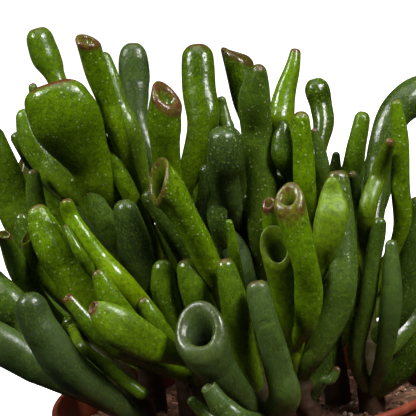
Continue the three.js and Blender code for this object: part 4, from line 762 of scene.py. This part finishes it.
def stem_skin(name):
    """Rings up a stem: plumb in the soil, then along its path, narrowing from foot to top, with
    a low ridge at even steps where an old leaf fell; the top is a low dome."""
    low, high, _ = STEMS[name]
    points = place(stem_path(name))
    length = np.linalg.norm(np.diff(points, axis=0), axis=1).sum()
    t = np.linspace(0, 1, STEM_RINGS)
    centre, up = blend(len(points), t) @ points, heading(points, t)
    up[0] = (0, 0, 1)
    foot = [[*points[0, :2], z] for z in (STEM_FOOT, STEM_FREE - 4)]
    centre, up = np.vstack([foot, centre]), np.vstack([[0, 0, 1], [0, 0, 1], up])
    t = np.append([0, 0], t)
    side = np.cross([0, 1, 0], up)
    side /= np.linalg.norm(side, axis=1, keepdims=True)
    front = np.cross(up, side)
    a = 2 * np.pi * np.arange(STEM_SIDES) / STEM_SIDES
    ridge = np.exp(-(((t * length / RIDGE_EVERY) % 1 - 0.5) / 0.16) ** 2)
    r = (low + (high - low) * t) * (1 + 0.06 * ridge)
    r = r[:, None] * (1 + 0.03 * np.sin(3 * a + 9 * t[:, None]))
    rings = (centre[:, None] + side[:, None] * (r * np.cos(a))[..., None]
             + front[:, None] * (r * np.sin(a))[..., None])
    skin = closed_skin(rings, [centre[0]], [centre[-1] + up[-1] * high * 0.8])
    t = np.concatenate([np.repeat(t, STEM_SIDES), [0, 1]])
    return skin, {"along": t, "red": 0 * t, "inside": 0 * t, "light": 0.25 + 0 * t, "bloom": 0.1 + 0 * t,
                  "bark": np.clip(1.15 - 1.1 * t, 0, 1), "matt": 0 * t, "pores": 0 * t}


# Living leaf skin: a clear waxy cuticle over wet green flesh. Light leaves are yellow-green and
# a little translucent, old ones are dark under a grey bloom, young ones are matt, and all carry
# fine pale pores that stand up and break the gloss. The darkest greens, given to leaves set deep
# in the plant, also paint the shade they sit in, and the hollow of a trumpet is darkened as
# painted shade. Lips and tips turn brownish red; the woody stem is corky brown, kept so dark that
# it also paints the shade under the leaves. Object coordinates are metres: noise of scale 95 has
# patches of 1000/95 = 11 mm, the mottle 1.4 mm, the speckle 0.5 mm, the waves that bend the
# highlights 1000/260 = 3.8 mm, and the pores stand 1000/800 = 1.25 mm apart.
leaf_flesh, tree = new_finish("waxy_leaf_skin")
where = add(tree, "TexCoord").outputs["Object"]
mark = {m: add(tree, "Attribute", {"attribute_name": m}).outputs["Fac"]
        for m in ("along", "red", "inside", "light", "bloom", "bark", "matt", "pores")}
patch, mottle, fine, wavy = (
    add(tree, "TexNoise", {"Scale": scale, "Detail": detail, "Roughness": fade}, {"Vector": where})
    for scale, detail, fade in ((95, 3, 0.55), (700, 5, 0.7), (2000, 3, 0.6), (260, 2, 0.5)))
cells = add(tree, "TexVoronoi", {"Scale": 800}, {"Vector": where})
cell_pick = add(tree, "SeparateColor", (), {"Color": cells.outputs["Color"]})
# Every share in the mix: what it is read from, the range read, and what that range becomes.
share = {}
for name, source, low, high, start, stop in (
        ("pore_spot", cells.outputs["Distance"], 0.12, 0.32, 1, 0),
        ("pore_there", cell_pick.outputs["Red"], 0.4, 0.75, 0, 1),
        ("patch_shift", patch, 0.3, 0.7, -0.2, 0.2),
        ("low_down", mark["along"], 0, 0.5, 0.5, 0),
        ("shaded", mottle, 0.42, 0.66, 0, 0.6),
        ("speckled", fine, 0.5, 0.7, 0, 0.4),
        ("waxy_patch", patch, 0.3, 0.7, 0.3, 0.7),
        ("ruddy", mottle, 0.35, 0.65, 0.45, 1.2),
        ("corky", mottle, 0.3, 0.7, 0, 1),
        ("rough", mottle, 0.3, 0.7, 0.13, 0.26)):
    share[name] = add(tree, "MapRange", {"From Min": low, "From Max": high, "To Min": start,
                                         "To Max": stop}, {"Value": source})

pore = add(tree, "Math", {"operation": "MULTIPLY"}, {0: share["pore_spot"], 1: share["pore_there"]})
pore = add(tree, "Math", {"operation": "MULTIPLY"}, {0: pore, 1: mark["pores"]})
# Painted shade in part: the leaf's own lightness, which is lowest on leaves set deep in the plant to paint
# the shade there.
lightness = add(tree, "Math", {"operation": "ADD"}, {0: mark["light"], 1: share["patch_shift"]})
green = add(tree, "Mix", {"data_type": "RGBA", 6: "#182A00", 7: "#506E00"}, {0: lightness})
low_light = add(tree, "Math", {"operation": "MULTIPLY"}, {0: share["low_down"], 1: mark["light"]})
young = add(tree, "Math", {"operation": "MULTIPLY", 1: 0.35}, {0: mark["matt"]})
waxy = add(tree, "Math", {"operation": "MULTIPLY"}, {0: mark["bloom"], 1: share["waxy_patch"]})
# Tints laid over the green one after another: yellow at the foot of a light leaf, the paler
# green of a young one, dark mottle, light speckle, grey bloom, painted shade in the hollow, and the pores.
# The near-black tint laid by the hollow mark is painted shade in the trumpet's hollow.
for amount, tint in ((low_light, "#6C7A04"), (young, "#6E8600"), (share["shaded"], "#0E1C00"),
                     (share["speckled"], "#6E8410"), (waxy, "#3A4630"), (mark["inside"], "#060A00"),
                     (pore, "#A4B070")):
    green = add(tree, "Mix", {"data_type": "RGBA", 7: tint}, {0: amount, 6: green})
red_amount = add(tree, "Math", {"operation": "MULTIPLY", "use_clamp": True},
                 {0: mark["red"], 1: share["ruddy"]})
skin_colour = add(tree, "Mix", {"data_type": "RGBA", 7: "#481E18"}, {0: red_amount, 6: green})
# Painted shade in part: the stem's corky brown is kept near black so that it also paints the shade under
# the leaves.
cork_and_shade = add(tree, "Mix", {"data_type": "RGBA", 6: "#1A0C02", 7: "#38200C"}, {0: share["corky"]})
skin_colour = add(tree, "Mix", {"data_type": "RGBA"}, {0: mark["bark"], 6: skin_colour, 7: cork_and_shade})

rough = share["rough"]
for amount, duller in ((waxy, 0.3), (mark["bark"], 0.5), (mark["matt"], 0.3)):
    rough = add(tree, "Math", {"operation": "MULTIPLY_ADD", 1: duller}, {0: amount, 2: rough})
grain = add(tree, "Math", {"operation": "MULTIPLY_ADD", 2: 0.35}, {0: mark["pores"], 1: mark["pores"]})
grain = add(tree, "Math", {"operation": "MULTIPLY"}, {0: grain, 1: fine})
relief = add(tree, "Math", {"operation": "MULTIPLY_ADD", 1: 1.2}, {0: pore, 2: grain})
waves = add(tree, "Bump", {"Strength": 0.5, "Distance": 0.0006}, {"Height": wavy})
bump = add(tree, "Bump", {"Strength": 0.8, "Distance": 0.00016}, {"Height": relief, "Normal": waves})
body = add(tree, "BsdfPrincipled", {"IOR": 1.42, "Specular IOR Level": 0.4, "Subsurface Weight": 0.15,
                                    "Subsurface Scale": 0.003, "Subsurface Radius": (0.6, 1.0, 0.1)},
           {"Base Color": skin_colour, "Roughness": rough, "Normal": bump})
add(tree, "OutputMaterial", (), {"Surface": body})

for name in STEMS:
    grown_here = [k for k, leaf in enumerate(leaves) if leaf["stem"] == name]
    skins = [stem_skin(name)] + [leaf_skin(leaves[k], k, FOLDS.get((name, k - grown_here[0]), []))
                                 for k in grown_here]
    marks = {m: np.concatenate([marks[m] for _, marks in skins]) for m in mark}
    grown = piece(f"grown_{name}", *joined([skin for skin, _ in skins]), marks, leaf_flesh)
    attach(grown, "root")
    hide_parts(f"leafy_stem_{name}")

# ---- floor, light and camera ----------------------------------------------------------------
# A plain pale studio floor that runs out of sight, a white surround, two large softboxes to the
# left and right of the plant and two weaker ones above and behind it.
board, tree = new_finish("matt_white_board")
where = add(tree, "TexCoord").outputs["Object"]
reach = add(tree, "VectorMath", {"operation": "LENGTH"}, {0: where}).outputs["Value"]
glow = add(tree, "MapRange", {"From Min": 0.1, "From Max": 0.42, "To Min": 0.05, "To Max": 1.0},
           {"Value": reach})
body = add(tree, "BsdfPrincipled", {"Base Color": "#F0F0EE", "Roughness": 0.85,
                                    "Emission Color": (1, 1, 1, 1)},
           {"Emission Strength": glow})
add(tree, "OutputMaterial", (), {"Surface": body})
FLOOR_REACH = 9000
floor = piece("floor", FLOOR_REACH * np.array([[-1, -1, 0], [1, -1, 0], [1, 1, 0], [-1, 1, 0]]),
              np.array([[0, 1, 2, 3]]), np.zeros((0, 3), int), {}, board)
floor.visible_diffuse = floor.visible_glossy = False

surround = bpy.data.worlds.new("white_surround")
surround.use_nodes = True
surround.node_tree.nodes["Background"].inputs["Color"].default_value = (1, 1, 1, 1)
surround.node_tree.nodes["Background"].inputs["Strength"].default_value = 0.035
bpy.context.scene.world = surround
bpy.context.scene.view_settings.view_transform = "Standard"

# Each softbox: degrees to the right of the front, degrees up, side in metres, and watts. The
# one behind only brightens the white board and the leaves' backs, and leaves no highlight.
LAMP_AWAY, LAMP_AIM = 1100, 140      # mm from the point aimed at, and that point's height
for name, turn, rise, size, watts in (
        ("softbox_left", -62, 46, 0.26, 15),
        ("softbox_right", 46, 44, 0.28, 18.5),
        ("softbox_top", 0, 80, 0.7, 5),
        ("softbox_back", 172, 38, 0.5, 9)):
    lamp = bpy.data.lights.new(name, "AREA")
    lamp.shape, lamp.size, lamp.energy = "SQUARE", size, watts
    lamp_object = bpy.data.objects.new(name, lamp)
    lamp_object.matrix_world = (
        Matrix.Translation((0, 0, LAMP_AIM * MM)) @ Matrix.Rotation(np.radians(turn), 4, "Z")
        @ Matrix.Rotation(np.radians(90 - rise), 4, "X") @ Matrix.Translation((0, 0, LAMP_AWAY * MM)))
    lamp_object.visible_camera = False
    lamp_object.visible_glossy = name != "softbox_back"
    bpy.context.scene.collection.objects.link(lamp_object)

# The camera stands at the eye, looks 11.5 degrees down and is rolled by 6.3 degrees.
camera = bpy.data.objects.new("camera", bpy.data.cameras.new("camera"))
camera.data.sensor_width = 36
camera.data.lens = 3000 / 416 * 36      # 3000 px of focal length on a frame 416 px wide
camera.data.clip_start, camera.data.clip_end = 0.05, 40
camera.matrix_world = (Matrix.Translation(EYE * MM) @ Matrix.Rotation(np.radians(90 - 11.5), 4, "X")
                       @ Matrix.Rotation(np.radians(-6.3), 4, "Z"))
bpy.context.scene.collection.objects.link(camera)
bpy.context.scene.camera = camera
